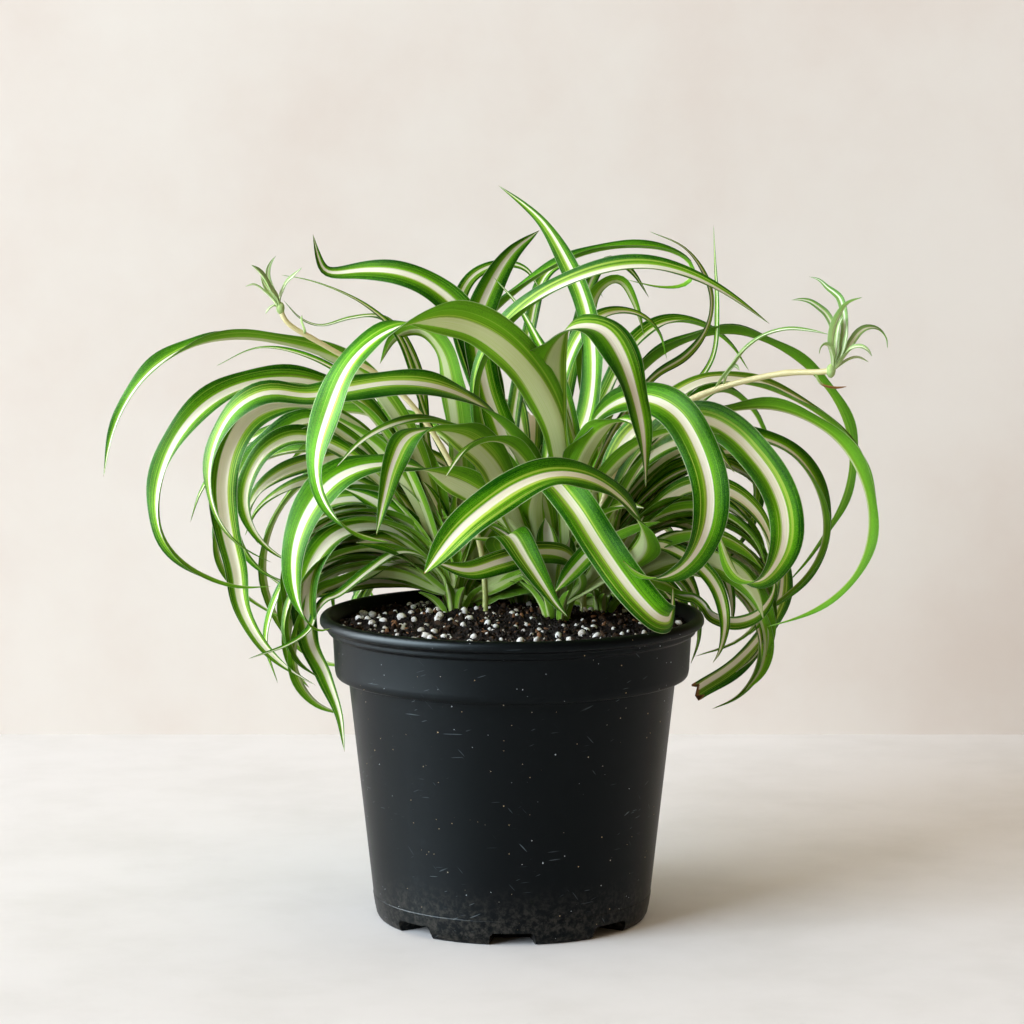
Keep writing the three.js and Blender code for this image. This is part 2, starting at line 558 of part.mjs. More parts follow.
const backLeaves = [
  leaf('broad top left', 16, [
    [-8, 200, 58], [-12, 240, 62], [-22, 267, 66], [-36, 280, 68], [-50, 285.5, 69], [-65, 286.5, 71],
    [-76, 285.5, 72], [-82, 286, 72], [-85, 293, 72], [-87, 303, 72],
  ], [50]),
  leaf('broad upright', 15, [
    [0, 200, 58], [-12, 238, 58], [-15, 264, 58], [-9, 281, 57], [0, 295, 56], [12, 304.5, 56],
  ], [60], { tip: 4 }),
  leaf('tallest', 13, [
    [20, 190, 56], [34, 225, 56], [36, 250, 56], [32, 274, 56], [25, 290, 57], [14, 308, 57],
    [4, 317, 58], [-6, 324, 58],
  ], [50]),
  leaf('upper arc', 12, [
    [-2, 200, 68], [-14, 235, 74], [-12, 262, 76], [3, 278, 77], [20, 289, 78], [38, 295.5, 79],
    [56, 297, 80], [71, 294.5, 81], [79, 288.5, 82], [77, 282, 83], [66, 280, 82], [50, 283, 80],
  ], [0, 0, 5, 15, 25], { fold: 36, inView: true }),
  leaf('pale hook', 7, [
    [30, 190, 54], [46, 220, 54], [62, 241, 56], [76, 250, 60], [85, 262, 62], [87, 275, 63],
    [83, 287, 63], [75, 297, 63], [60, 304, 63],
  ], usualRoll, { inView: true }),
  leaf('thin upright', 4, [
    [40, 190, 60], [70, 225, 70], [88, 248, 76], [90, 270, 78], [89, 290, 79], [88, 307, 80],
  ]),
  leaf('outer right', 15, [
    [30, 185, 64], [45, 225, 70], [62, 247, 76], [80, 257, 80], [97, 259.5, 83], [113, 255, 85],
    [127, 246, 87], [139, 234, 88], [147, 218, 88], [149, 203, 88], [146, 187, 88], [139, 173, 87],
    [130, 159, 86], [121, 148, 84],
  ], [0, 5, 10, 20], { fold: 36, inView: true }),
  leaf('next outer right', 13, [
    [25, 190, 70], [40, 228, 80], [55, 255, 88], [68, 264, 93], [82, 263, 96], [95, 255, 98],
    [104, 243, 100],
  ], sideRoll, { fold: 36, inView: true }),
  leaf('dark crest', 12, [
    [15, 190, 60], [22, 235, 62], [32, 260, 64], [44, 268, 66], [56, 267, 68], [64, 260, 70],
    [68, 248, 71],
  ], sideRoll, { fold: 30, inView: true }),
  leaf('pale under the arc', 12, [
    [38, 200, 66], [32, 250, 70], [38, 278, 73], [47, 283, 74], [54, 272, 75], [58, 258, 76],
  ], [-60]),
  leaf('first small crest', 8, [
    [-10, 220, 78], [-24, 268, 82], [-18, 284, 84], [-5, 290, 86], [6, 288, 87], [13, 277, 88],
  ]),
  leaf('second small crest', 8, [
    [0, 215, 84], [8, 262, 88], [14, 284, 90], [22, 290, 92], [32, 286, 93], [40, 275, 94],
  ]),
  leaf('third small crest', 8, [
    [20, 215, 84], [30, 265, 88], [36, 285, 90], [43, 292, 91], [52, 287, 92], [60, 275, 93],
  ]),
  leaf('low right', 13, [
    [55, 190, 78], [75, 222, 90], [92, 234, 98], [105, 226, 103], [112, 211, 106], [113, 196, 106],
  ], sideRoll, { fold: 36, inView: true }),
  leaf('pale lobe', 17, [
    [-20, 175, 55], [-23, 205, 55], [-26, 232, 55], [-31, 252, 55], [-40, 261, 56], [-51, 258, 58],
    [-58, 246, 60],
  ], [-50]),
  leaf('far behind', 6, [
    [-45, 205, 58], [-70, 238, 56], [-92, 250, 54], [-112, 253, 52], [-130, 245, 51],
  ], usualRoll, { inView: true }),
  leaf('wavy top', 6, [
    [-35, 200, 62], [-42, 245, 66], [-56, 266, 70], [-70, 266, 74], [-84, 262.5, 78], [-93, 266, 82],
    [-100, 274, 86],
  ]),
  leaf('thin top', 5, [
    [-35, 215, 56], [-50, 258, 58], [-62, 270, 62], [-76, 278, 66], [-90, 283, 71], [-101, 285, 75],
  ]),
];

// Leaves that only fill a crown, spread evenly by a rule: each one rises, arches over and curls
function fillLeaves(crown, count, { from, to, length, rise, curl, width }) {
  const leaves = [];
  for (let i = 1; i <= count; i += 1) {
    const first = fraction(i, 0.7549);
    const second = fraction(i, 0.5698);
    const azimuth = degrees(lerp(from, to, (i - 0.5) / count));
    const total = lerp(length[0], length[1], first);
    const start = degrees(lerp(rise[0], rise[1], second));
    const turn = degrees(lerp(curl[0], curl[1], first));
    const swing = degrees(30) * (second - 0.5);
    const point = crown.root.clone();
    const path = [];
    const pieces = 10;
    for (let k = 0; k < pieces; k += 1) {
      const s = (k + 0.5) / pieces;
      const climb = start - turn * s ** 1.4;
      const way = azimuth + swing * s;
      const flat = (total / pieces) * Math.cos(climb);
      point.x += flat * Math.cos(way);
      point.y += flat * Math.sin(way);
      point.z += (total / pieces) * Math.sin(climb);
      const seen = seenPlace(point);
      path.push([seen.x, seen.z, seen.y]);
    }
    const wide = lerp(width[0], width[1], fraction(i, 0.3247));
    leaves.push(leaf(`filler ${i}`, wide, path, [0, 40 * (first - 0.5), 50 * (second - 0.5)]));
  }
  return leaves;
}

// The four crowns
function makeCrown(x, y, layer, listed, fillers) {
  const root = new THREE.Vector3(x, y, crownRootHeight);
  const crown = { root, reach: 4.5, rise: 9, layer, inPot: true };
  const stub = cylinder(stubRadius, soilTop(x, y) - stubBelow, soilTop(x, y) + stubAbove, x, y, 12, 6.5);
  const leaves = [...listed, ...fillers.flatMap(([count, rule]) => fillLeaves(crown, count, rule))];
  crown.solid = joined([stub, ...leaves.map((each) => bladeSolid(each, crown))]);
  crown.hole = { x, y, radius: stubRadius, low: soilTop(x, y) - stubBelow };
  return crown;
}

const crowns = {
  crown_front: makeCrown(20, 6, frontLayer, frontLeaves, [
    [2, { from: 200, to: 340, length: [140, 190], rise: [78, 88], curl: [90, 140], width: [9, 13] }],
  ]),
  crown_left: makeCrown(-26, 34, sideLayer, leftLeaves, []),
  crown_right: makeCrown(40, 34, sideLayer, rightLeaves, [
    [1, { from: -12, to: 12, length: [150, 200], rise: [65, 85], curl: [120, 240], width: [9, 12] }],
  ]),
  crown_back: makeCrown(5, 56, backLayer, backLeaves, [
    [9, { from: 12, to: 168, length: [190, 280], rise: [58, 82], curl: [130, 290], width: [10, 15] }],
  ]),
};

// The runners: pale wiry stems from the mix, with a bract or two, and a young plant at the tip
const openLayer = () => [-Infinity, Infinity];

function runnerPlace([across, height]) {
  return realPlace(new THREE.Vector3(across, runnerDepth(across), height));
}

function runnerTube(places, radius) {
  const section = new THREE.Shape();
  section.absarc(0, 0, radius, 0, 2 * Math.PI, false);
  const curve = new THREE.CatmullRomCurve3(places, false, 'centripetal');
  const options = { steps: 22, curveSegments: 3, bevelEnabled: false, extrudePath: curve };
  return solidFrom(new THREE.ExtrudeGeometry(section, options));
}

function smallBlade(root, [name, width, path, roll = [30]]) {
  const blade = leaf(name, width, path, roll, { steps: 5, thickness: 0.8 });
  return bladeSolid(blade, { root, reach: 1, rise: 0, layer: openLayer, inPot: false });
}

function makeRunner({ x, y, radius, route, bracts, plantlet }) {
  const low = soilTop(x, y) - stubBelow;
  const straight = [low, soilTop(x, y) + 2, soilTop(x, y) + 8];
  const places = [...straight.map((z) => new THREE.Vector3(x, y, z)), ...route.map(runnerPlace)];
  const tip = places[places.length - 1];
  const onStem = bracts.map(([from, ...blade]) => smallBlade(runnerPlace(from), blade));
  const stem = joined([runnerTube(places, radius), ...onStem]);
  const heading = tip.clone().sub(places[places.length - 2]).setLength(fit);
  const socket = runnerTube([...places, tip.clone().add(heading)], radius + fit);
  const bud = solidFrom(new THREE.IcosahedronGeometry(radius + 2, 0).translate(tip.x, tip.y, tip.z));
  const blades = plantlet.map((blade) => smallBlade(tip, blade));
  const young = joined([bud, ...blades]).subtract(socket);
  return { stem, young, hole: { x, y, radius, low } };
}

const rightRunner = makeRunner({
  x: 32,
  y: 21,
  radius: 1.4,
  route: [
    [35, 165], [44, 195], [58, 216], [76, 229], [90, 235], [100, 238], [120, 242], [135, 242.5],
    [140, 243],
  ],
  bracts: [
    [[88, 234], 'side shoot', 4.5, [
      [92, 239, 1], [97, 245, -1], [102, 252, -4], [110, 258, -7], [120, 261, -10], [130, 260.5, -13],
      [139, 259, -16],
    ]],
    [[92, 236], 'bract', 3, [[95, 242, 0], [98, 245, -2], [100, 243, -4]]],
    [[132, 242.5], 'brown bract', 3, [[136, 237.5, -16], [141, 236, -18], [147, 236, -20]]],
  ],
  plantlet: [
    ['upright sheath', 4, [
      [141, 250, -17], [140.3, 256, -18], [141, 262, -19], [143.5, 268, -20], [147, 272.5, -20],
      [153.4, 275.3, -21],
    ]],
    ['closed bud', 5, [[145, 250, -17], [146.6, 256, -18], [147.2, 261, -18], [147, 265, -17]]],
    ['pale inner', 4.5, [[142.5, 250, -15.5], [142.6, 257, -15], [143.5, 263, -14.5], [145.2, 267, -14]]],
    ['upper left', 4, [
      [144.5, 252, -14], [146, 260, -13], [145.5, 269, -12], [143.7, 275, -10], [141, 277.7, -9],
      [138.3, 279.6, -8], [134.5, 283, -7], [130, 284.3, -6],
    ]],
    ['long left', 3.6, [
      [141, 252, -14], [140.6, 262, -13], [137.6, 268, -13], [134.3, 271, -14], [130.3, 273.6, -15],
      [126.2, 274.4, -16], [122.2, 274, -17],
    ]],
    ['far right', 4.4, [
      [145, 248, -14], [149.5, 256, -12], [152.4, 259.8, -10], [155.4, 261.5, -8], [158.8, 261.6, -6],
      [161.8, 260.3, -4], [164, 257.2, -3], [164.7, 252.8, -2],
    ]],
    ['low right', 4, [
      [144.5, 247, -18], [146.8, 250.5, -20], [149.4, 252.8, -22], [152.7, 253.4, -24], [155.8, 252, -26],
      [158, 249.3, -27],
    ]],
    ['low left', 2.8, [
      [140.6, 250, -17], [139.4, 254, -19], [137, 254.6, -20], [135.3, 252.8, -21], [134.8, 250.4, -21],
    ]],
    ['level right', 2.4, [[147.7, 247.8, -16], [151.7, 248.8, -15], [156.4, 247, -14]]],
    ['behind', 3.4, [[143, 252, -11], [142, 260, -5], [140, 265, 1], [138.5, 267, 7]]],
  ],
});

const leftRunner = makeRunner({
  x: -12,
  y: 21,
  radius: 1.2,
  route: [
    [-14, 165], [-26, 200], [-44, 228], [-60, 242], [-75, 250], [-88, 257.5], [-95, 261.5],
    [-98.8, 264.6], [-100.6, 267.8], [-101.4, 270.5],
  ],
  bracts: [[[-90, 258.6], 'bract', 2.5, [[-91.5, 262, -1], [-92.5, 265, -2], [-92, 267.5, -3]]]],
  plantlet: [
    ['right', 2.6, [
      [-101.4, 274.5, -1], [-100.2, 278.1, -2], [-98.2, 282, -3], [-95.5, 284.6, -4], [-91.8, 288.2, -5],
    ]],
    ['broad left', 5.5, [
      [-103.9, 275, -3], [-106.2, 279.2, -4], [-108.9, 284, -5], [-111.3, 287, -6], [-114, 289.4, -7],
    ]],
    ['upright', 2.8, [
      [-103.4, 275.5, 0], [-105.4, 279.5, 2], [-106.8, 284, 4], [-106.6, 287.7, 5], [-105.2, 290.8, 5],
      [-103.2, 293.3, 5],
    ]],
    ['small left', 2.2, [
      [-105, 274.5, -4], [-108.5, 278, -5], [-112.6, 280.7, -6], [-116.7, 280, -8],
    ]],
    ['pale sheath', 4, [[-103.5, 274, 1], [-106, 277.5, 1], [-108.5, 281, 1], [-110, 284.5, 1]]],
    ['under', 2.4, [[-104, 271.5, -3], [-106, 270.5, -5], [-108, 268, -7]]],
  ],
});

// Colours of the pieces
function finish(color, roughness) {
  return new THREE.MeshStandardMaterial({ color, roughness, metalness: 0 });
}

const holes = [...Object.values(crowns).map(({ hole }) => hole), rightRunner.hole, leftRunner.hole];

const plant = new THREE.Group();
plant.name = 'potted_spider_plant';
plant.add(meshFrom('pot', potSolid(), finish('#1d2124', 0.5)));
plant.add(meshFrom('potting_mix', soilSolid(holes), finish('#2a1f18', 0.95)));
for (const [name, { solid }] of Object.entries(crowns)) {
  plant.add(meshFrom(name, solid, finish('#4f8a2c', 0.4)));
}
plant.add(meshFrom('runner_right', rightRunner.stem, finish('#d9cf8a', 0.5)));
plant.add(meshFrom('runner_left', leftRunner.stem, finish('#d9cf8a', 0.5)));
plant.add(meshFrom('plantlet_right', rightRunner.young, finish('#8fb35a', 0.45)));
plant.add(meshFrom('plantlet_left', leftRunner.young, finish('#8fb35a', 0.45)));

export default plant;
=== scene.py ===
import math
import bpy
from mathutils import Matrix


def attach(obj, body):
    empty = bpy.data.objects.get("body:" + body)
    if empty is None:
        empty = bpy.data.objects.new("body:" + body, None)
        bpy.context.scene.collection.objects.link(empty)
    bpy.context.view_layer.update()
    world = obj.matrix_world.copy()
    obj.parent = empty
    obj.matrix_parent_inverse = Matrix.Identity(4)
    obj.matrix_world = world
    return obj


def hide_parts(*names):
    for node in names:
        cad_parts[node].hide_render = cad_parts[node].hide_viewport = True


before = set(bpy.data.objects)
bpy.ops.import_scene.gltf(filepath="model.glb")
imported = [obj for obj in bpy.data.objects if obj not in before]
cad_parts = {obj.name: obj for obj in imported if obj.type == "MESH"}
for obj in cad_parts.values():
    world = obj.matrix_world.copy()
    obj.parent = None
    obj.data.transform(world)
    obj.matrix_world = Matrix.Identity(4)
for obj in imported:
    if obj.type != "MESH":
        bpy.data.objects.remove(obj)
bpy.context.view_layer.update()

from types import SimpleNamespace

import bmesh
import bpy
import numpy as np
from mathutils import Vector, noise

# A potted spider plant: four crowns of arching, striped leaves and two runners with young plants,
# in a black nursery pot. Sizes are in millimetres, as they are measured on the real plant, and
# each mesh is made in metres.
mm = 0.001


# The camera: it stands 1.45 m in front of the pot's axis and looks down on it a little. Its lens
# was fitted to the pot's rim, collar and foot, and the leaf paths below are read from its place.
eye_distance = 1450
eye_height = 354
eye_pitch = math.radians(6.82)
image_size = 1024
focal_pixels = 3310

camera = bpy.data.objects.new("camera", bpy.data.cameras.new("camera"))
camera.data.sensor_width = 36
camera.data.lens = focal_pixels * camera.data.sensor_width / image_size
camera.data.clip_start = 0.05
camera.location = (0, -eye_distance * mm, eye_height * mm)
camera.rotation_euler = (math.pi / 2 - eye_pitch, 0, 0)
bpy.context.scene.collection.objects.link(camera)
bpy.context.scene.camera = camera


# The pot: one moulding of black polypropylene, 17 cm across its rolled rim, with a bead under the
# rim, a deep stepped collar, a tapered body, and a raised floor on eight feet between notches.
pot_height = 136
rim_radius = 85
bead_radius = 81.5
collar_radius = 78.5
collar_inside = 75.2
mean_radius = 74
body_top_radius = 72.6
body_bottom_radius = 61
collar_bottom = 108
foot_radius = 59.4
wall = 1.5
disc_radius = 45
floor_thickness = 1.8
ring_height = 9
seam_height = 10.8
notch_count = 8
notch_height = 5.6
notch_half_angle = math.radians(9)
drain_radius = 3
drain_circle = 52
pot_sides = 256


def lerp(low, high, amount):
    return low + (high - low) * amount


def body_radius(height):
    """How wide the tapered body is at a height."""
    return lerp(body_bottom_radius, body_top_radius, (height - 3) / (collar_bottom - 3))


def rounded(corners, steps=5):
    """The corners, each a radius, a height and a rounding, as points with every corner made a curve."""
    points = []
    for place, (radius, height, rounding) in enumerate(corners):
        here = np.array([radius, height], float)
        if not rounding:
            points.append(here)
            continue
        before = np.array(corners[place - 1][:2]) - here
        after = np.array(corners[place + 1][:2]) - here
        before /= np.linalg.norm(before)
        after /= np.linalg.norm(after)
        start = here + rounding * before
        end = here + rounding * after
        for t in np.linspace(0, 1, steps):
            points.append((1 - t) ** 2 * start + 2 * t * (1 - t) * here + t * t * end)
    return points


def turned(profile, sides):
    """A profile of radii and heights turned round the upright axis: its vertices and faces."""
    angles = np.arange(sides) * 2 * math.pi / sides
    vertices = []
    rows = []
    for radius, height in profile:
        first = len(vertices)
        if radius < 1e-6:
            vertices.append((0, 0, height))
            rows.append([first] * sides)
            continue
        vertices += [(radius * math.cos(a), radius * math.sin(a), height) for a in angles]
        rows.append(list(range(first, first + sides)))
    faces = []
    for low, high in zip(rows, rows[1:]):
        for k in range(sides):
            after = (k + 1) % sides
            face = [low[k], low[after], high[after], high[k]]
            faces.append(list(dict.fromkeys(face)))
    return np.array(vertices, float), faces


def new_piece(name, vertices, faces, material, sharp_over=None):
    """A mesh object from vertices in millimetres."""
    mesh = bpy.data.meshes.new(name)
    mesh.from_pydata((np.asarray(vertices) * mm).tolist(), [], faces)
    mesh.materials.append(material)
    mesh.shade_smooth()
    if sharp_over is not None:
        mesh.set_sharp_from_angle(angle=math.radians(sharp_over))
    piece = bpy.data.objects.new(name, mesh)
    bpy.context.scene.collection.objects.link(piece)
    return piece


def colour(code):
    """A colour written as on screen, such as 1e2a30, as the shader's linear numbers."""
    shares = [int(code[k : k + 2], 16) / 255 for k in (0, 2, 4)]
    return (*(c / 12.92 if c <= 0.04045 else ((c + 0.055) / 1.055) ** 2.4 for c in shares), 1)


class Wire:
    """One socket of a material, so that shader maths reads as plain sums."""

    def __init__(self, tree, socket):
        self.tree = tree
        self.socket = socket

    @classmethod
    def node(cls, tree, kind, settings=None, inputs=None, output=0):
        """A node of the given kind, with its settings and the values or wires of its sockets."""
        made = tree.nodes.new("ShaderNode" + kind)
        for name, value in (settings or {}).items():
            setattr(made, name, value)
        for place, value in (inputs or {}).items():
            socket = made.inputs[place]
            if isinstance(value, Wire):
                tree.links.new(value.socket, socket)
            elif socket.type == "VECTOR" and not hasattr(value, "__len__"):
                socket.default_value = (value,) * 3
            else:
                socket.default_value = value
        return cls(tree, made.outputs[output])

    def sum(self, operation, *values):
        """One sum, on vectors where a value is one, or else on numbers."""
        vectors = [v.socket.type == "VECTOR" for v in (self, *values) if isinstance(v, Wire)]
        kind = "VectorMath" if any(vectors) else "Math"
        return self.node(self.tree, kind, {"operation": operation}, dict(enumerate(values)))

    def __add__(self, other):
        return self.sum("ADD", self, other)

    __radd__ = __add__

    def __sub__(self, other):
        return self.sum("SUBTRACT", self, other)

    def __rsub__(self, other):
        return self.sum("SUBTRACT", other, self)

    def __mul__(self, other):
        return self.sum("MULTIPLY", self, other)

    __rmul__ = __mul__

    def __truediv__(self, other):
        return self.sum("DIVIDE", self, other)

    def smooth(self, low, high, start=0, end=1):
        """Eased from start to end as this value goes from low to high."""
        inputs = {0: self, 1: low, 2: high, 3: start, 4: end}
        return self.node(self.tree, "MapRange", {"interpolation_type": "SMOOTHSTEP"}, inputs)

    def noise(self, scale, detail=2, roughness=0.5):
        """Soft noise at this place, about a half on average."""
        inputs = {"Vector": self, "Scale": scale, "Detail": detail, "Roughness": roughness}
        return self.node(self.tree, "TexNoise", None, inputs)

    def cells(self, scale, output="Distance"):
        """How far this place is from the middle of its cell, or a random colour of that cell."""
        return self.node(self.tree, "TexVoronoi", None, {"Vector": self, "Scale": scale}, output)

    def parts(self):
        """The three numbers of a vector or a colour."""
        split = self.node(self.tree, "SeparateXYZ", None, {0: self}).socket.node
        return [Wire(self.tree, socket) for socket in split.outputs]

    def between(self, low, high):
        """The colour from low to high that this value picks."""
        return self.node(self.tree, "Mix", {"data_type": "RGBA"}, {0: self, 6: low, 7: high}, 2)


def new_finish(name, fixed):
    """A material with one shader, whose values in fixed are the same all over the surface."""
    material = bpy.data.materials.new(name)
    material.use_nodes = True
    tree = material.node_tree
    shader = tree.nodes["Principled BSDF"]
    for socket, value in fixed.items():
        shader.inputs[socket].default_value = value
    return material, tree, shader


def feed(shader, **wires):
    """Joins wires to the shader's sockets, named with _ for a space."""
    for name, wire in wires.items():
        wire.tree.links.new(wire.socket, shader.inputs[name.replace("_", " ")])


def bumped(height, depth):
    """The surface's normal with this height, from 0 to 1, standing depth millimetres proud."""
    inputs = {"Height": height, "Distance": depth * mm}
    return height.node(height.tree, "Bump", None, inputs)


def own_place(tree):
    """The place on the piece, in millimetres."""
    return Wire.node(tree, "TexCoord", None, None, "Object") * (1 / mm)


def pot_plastic():
    """Satin black plastic, with the dust, scuffs, scratches and specks of a used nursery pot."""
    fixed = {"Specular IOR Level": 0.11, "Specular Tint": (0.8, 0.95, 1, 1)}
    material, tree, shader = new_finish("pot_plastic", fixed)
    place = own_place(tree)
    x, y, height = place.parts()
    angle = x.sum("ARCTAN2", x, 0 - y)
    on_wall = Wire.node(tree, "CombineXYZ", None, {0: angle * mean_radius, 1: height, 2: 0})
    dust = place.noise(0.035, 4, 0.65).smooth(0.45, 0.75)
    grime = place.noise(0.35, 5, 0.7).smooth(0.5, 0.8)
    grain = place.noise(2.2, 3, 0.6)
    dusty = dust * grime

    def scratched(turn, length):
        """Fine lines that lean by a turn, about a length long."""
        around, upward, _ = on_wall.parts()
        along = around * math.cos(turn) + upward * math.sin(turn)
        side = upward * math.cos(turn) - around * math.sin(turn)
        bent = side + 0.8 * on_wall.noise(0.05)
        lane = Wire.node(tree, "CombineXYZ", None, {0: along / length, 1: bent * 1.1, 2: turn * 40})
        return lane.noise(1.0, 1, 0.4).smooth(0.735, 0.775)

    def speckled(scale, size, rarity):
        """Round dots in the few cells whose random colour passes the rarity."""
        moved = place + 31 * scale
        lucky = moved.cells(scale, "Color").parts()[0].smooth(rarity, rarity + 0.01)
        return moved.cells(scale).smooth(size, size * 0.7) * lucky

    scratches = scratched(0.35, 9) + scratched(-0.8, 12) + scratched(0.05, 16)
    scratches = scratches * on_wall.noise(0.03, 2, 0.5).smooth(0.45, 0.62)
    specks = speckled(0.5, 0.15, 0.955) + speckled(0.2, 0.07, 0.86) + speckled(0.9, 0.18, 0.98)
    warm = place.noise(0.06).smooth(0.45, 0.55)
    speck_colour = warm.between(colour("c4ccd0"), colour("cbb183"))
    plastic = dusty.between(colour("030405"), colour("0d1113"))
    plastic = (grain * 0.2).between(plastic, colour("0d1012"))
    plastic = (scratches * 0.35).between(plastic, colour("7d888d"))
    low_dust = height.smooth(30, 0) * place.noise(0.4, 4, 0.7).smooth(0.4, 0.7) * 0.25
    plastic = low_dust.between(plastic, colour("6d675d"))
    feed(
        shader,
        Base_Color=(specks * 0.9).between(plastic, speck_colour),
        Roughness=0.34 + 0.14 * dusty + 0.08 * grain + 0.3 * specks,
        Normal=bumped(grain * 0.4 + dusty * 0.3 + specks, 0.05),
    )
    return material


pot_outside = rounded([
    (0, 0, 0),
    (foot_radius, 0, 1.2),
    (body_radius(3) - 0.1, 3, 0.8),
    (body_radius(seam_height) + 0.2, seam_height, 0.1),
    (body_radius(seam_height + 0.2), seam_height + 0.2, 0.1),
    (body_top_radius, collar_bottom, 0.3),
    (collar_radius - 0.6, collar_bottom + 0.1, 1.5),
    (collar_radius, collar_bottom + 3.2, 0.8),
    (collar_radius + 0.9, 127.2, 0.7),
    (bead_radius, 127.9, 0.9),
    (bead_radius, 130.5, 0.9),
    (rim_radius - 2.1, 130.7, 0.5),
    (rim_radius, 131.6, 0.9),
    (rim_radius, 134.6, 1.3),
    (rim_radius - 2, pot_height, 1.3),
    (rim_radius - 4, pot_height - 0.4, 0.8),
    (collar_inside + 2.7, 131, 1.2),
    (collar_inside + 1.6, collar_bottom + 3.2, 0),
])
pot_inside = rounded([
    (collar_inside, collar_bottom + 1.6, 0),
    (body_top_radius - wall, collar_bottom + 1.2, 0),
    (body_radius(ring_height) - wall, ring_height, 0),
    (disc_radius - wall, ring_height, 0),
    (disc_radius - wall, floor_thickness, 0),
    (0, floor_thickness, 0),
])


def notch_cutter():
    """Eight slots that lean open toward the ground, and a drill for the drain hole over each one."""
    cutter = bmesh.new()
    for k in range(notch_count):
        angle = -math.pi / 2 + k * 2 * math.pi / notch_count
        rings = []
        for height, lean in ((-1, 1.12), (notch_height - 1.2, 1.0), (notch_height, 0.86)):
            half = notch_half_angle * lean
            turns = [angle + half * t for t in np.linspace(-1, 1, 9)]
            inner = [(disc_radius * math.cos(a), disc_radius * math.sin(a), height) for a in turns]
            outer = [(rim_radius * math.cos(a), rim_radius * math.sin(a), height) for a in turns]
            rings.append([cutter.verts.new(Vector(p) * mm) for p in outer + inner[::-1]])
        for low, high in zip(rings, rings[1:]):
            for a in range(len(low)):
                b = (a + 1) % len(low)
                cutter.faces.new((low[a], low[b], high[b], high[a]))
        cutter.faces.new(rings[0][::-1])
        cutter.faces.new(rings[-1])
        hole = Vector((drain_circle * math.cos(angle), drain_circle * math.sin(angle), ring_height))
        radii = {"radius1": drain_radius * mm, "radius2": drain_radius * mm}
        drill = bmesh.ops.create_cone(cutter, cap_ends=True, segments=24, depth=6 * mm, **radii)
        bmesh.ops.translate(cutter, verts=drill["verts"], vec=hole * mm)
    mesh = bpy.data.meshes.new("notch_cutter")
    cutter.to_mesh(mesh)
    cutter.free()
    return bpy.data.objects.new("notch_cutter", mesh)


def cut_by(piece, cutter):
    """Cuts the cutter's shape out of the piece."""
    bpy.context.scene.collection.objects.link(cutter)
    cut = piece.modifiers.new("cut", "BOOLEAN")
    cut.operation = "DIFFERENCE"
    cut.solver = "EXACT"
    cut.use_self = True
    cut.object = cutter
    ready = piece.evaluated_get(bpy.context.evaluated_depsgraph_get())
    mesh = bpy.data.meshes.new_from_object(ready)
    piece.modifiers.clear()
    piece.data = mesh
    bpy.data.objects.remove(cutter)


def fit_on(piece, replaced=None):
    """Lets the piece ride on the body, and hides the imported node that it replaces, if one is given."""
    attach(piece, "root")
    if replaced:
        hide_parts(replaced)


pot = new_piece("nursery_pot", *turned(pot_outside + pot_inside, pot_sides), pot_plastic())
cut_by(pot, notch_cutter())
pot.data.set_sharp_from_angle(angle=math.radians(38))
fit_on(pot, "pot")


# The potting mix: dark peat that fills the pot to just under the rim, with white perlite, chips
# of bark and crumbs lying in and on its lumpy top.
soil_at_wall = 130
mound_height = 3.2
mound_radius = 38
mound_middle = 25
fit = 0.3
soil_radius = 77.3
soil_rings = 64
soil_sides = 240
strewn_radius = 76
scatter = np.random.default_rng(11)


def soil_top(x, y):
    """The height of the mix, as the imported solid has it."""
    mound = mound_height * math.exp(-(x * x + (y - mound_middle) ** 2) / (2 * mound_radius**2))
    lumps = 0.6 * math.sin(x / 6.1 + y / 9.3) + 0.5 * math.cos(y / 5.2 - x / 11)
    return soil_at_wall + mound + lumps


def crumbled(x, y):
    """How far clods and crumbs stand over the height of the mix."""
    clods = noise.fractal(Vector((x / 5.5, y / 5.5, 3)), 1, 2, 4)
    crumbs = noise.noise(Vector((x / 1.6, y / 1.6, 8)))
    return 1.1 * clods + 0.5 * abs(crumbs) - 0.3


def peat():
    """Damp black peat with brown crumbs and chips."""
    material, tree, shader = new_finish("peat", {"Specular IOR Level": 0.06})
    place = own_place(tree)
    crumbs = place.noise(0.9, 6, 0.75)
    brown = place.noise(0.33, 4, 0.7).smooth(0.5, 0.72)
    soil = crumbs.smooth(0.35, 0.75).between(colour("070504"), colour("231810"))
    soil = (brown * crumbs.smooth(0.45, 0.6)).between(soil, colour("543823"))
    feed(shader, Base_Color=soil, Roughness=crumbs.smooth(0.3, 0.7, 0.8, 1), Normal=bumped(crumbs, 1.2))
    return material


def soil_bed():
    """The body of the mix, which fills the pot, and its crumbled top."""
    body_at = body_radius(ring_height) - wall - fit
    profile = [
        (0, floor_thickness + fit),
        (disc_radius - wall - fit, floor_thickness + fit),
        (disc_radius - wall - fit, ring_height + fit),
        (body_at, ring_height + fit),
        (body_top_radius - wall - fit, collar_bottom + 1.5),
        (collar_inside - fit, collar_bottom + 2.2),
        (soil_radius - 0.8, collar_bottom + 3.6),
    ]
    profile += [(radius, soil_at_wall) for radius in np.linspace(soil_radius, 0, soil_rings)]
    vertices, faces = turned(profile, soil_sides)
    for place in vertices:
        if place[2] == soil_at_wall:
            place[2] = soil_top(place[0], place[1]) + crumbled(place[0], place[1])
    return vertices, faces


bed = new_piece("potting_mix_bed", *soil_bed(), peat())
fit_on(bed, "potting_mix")


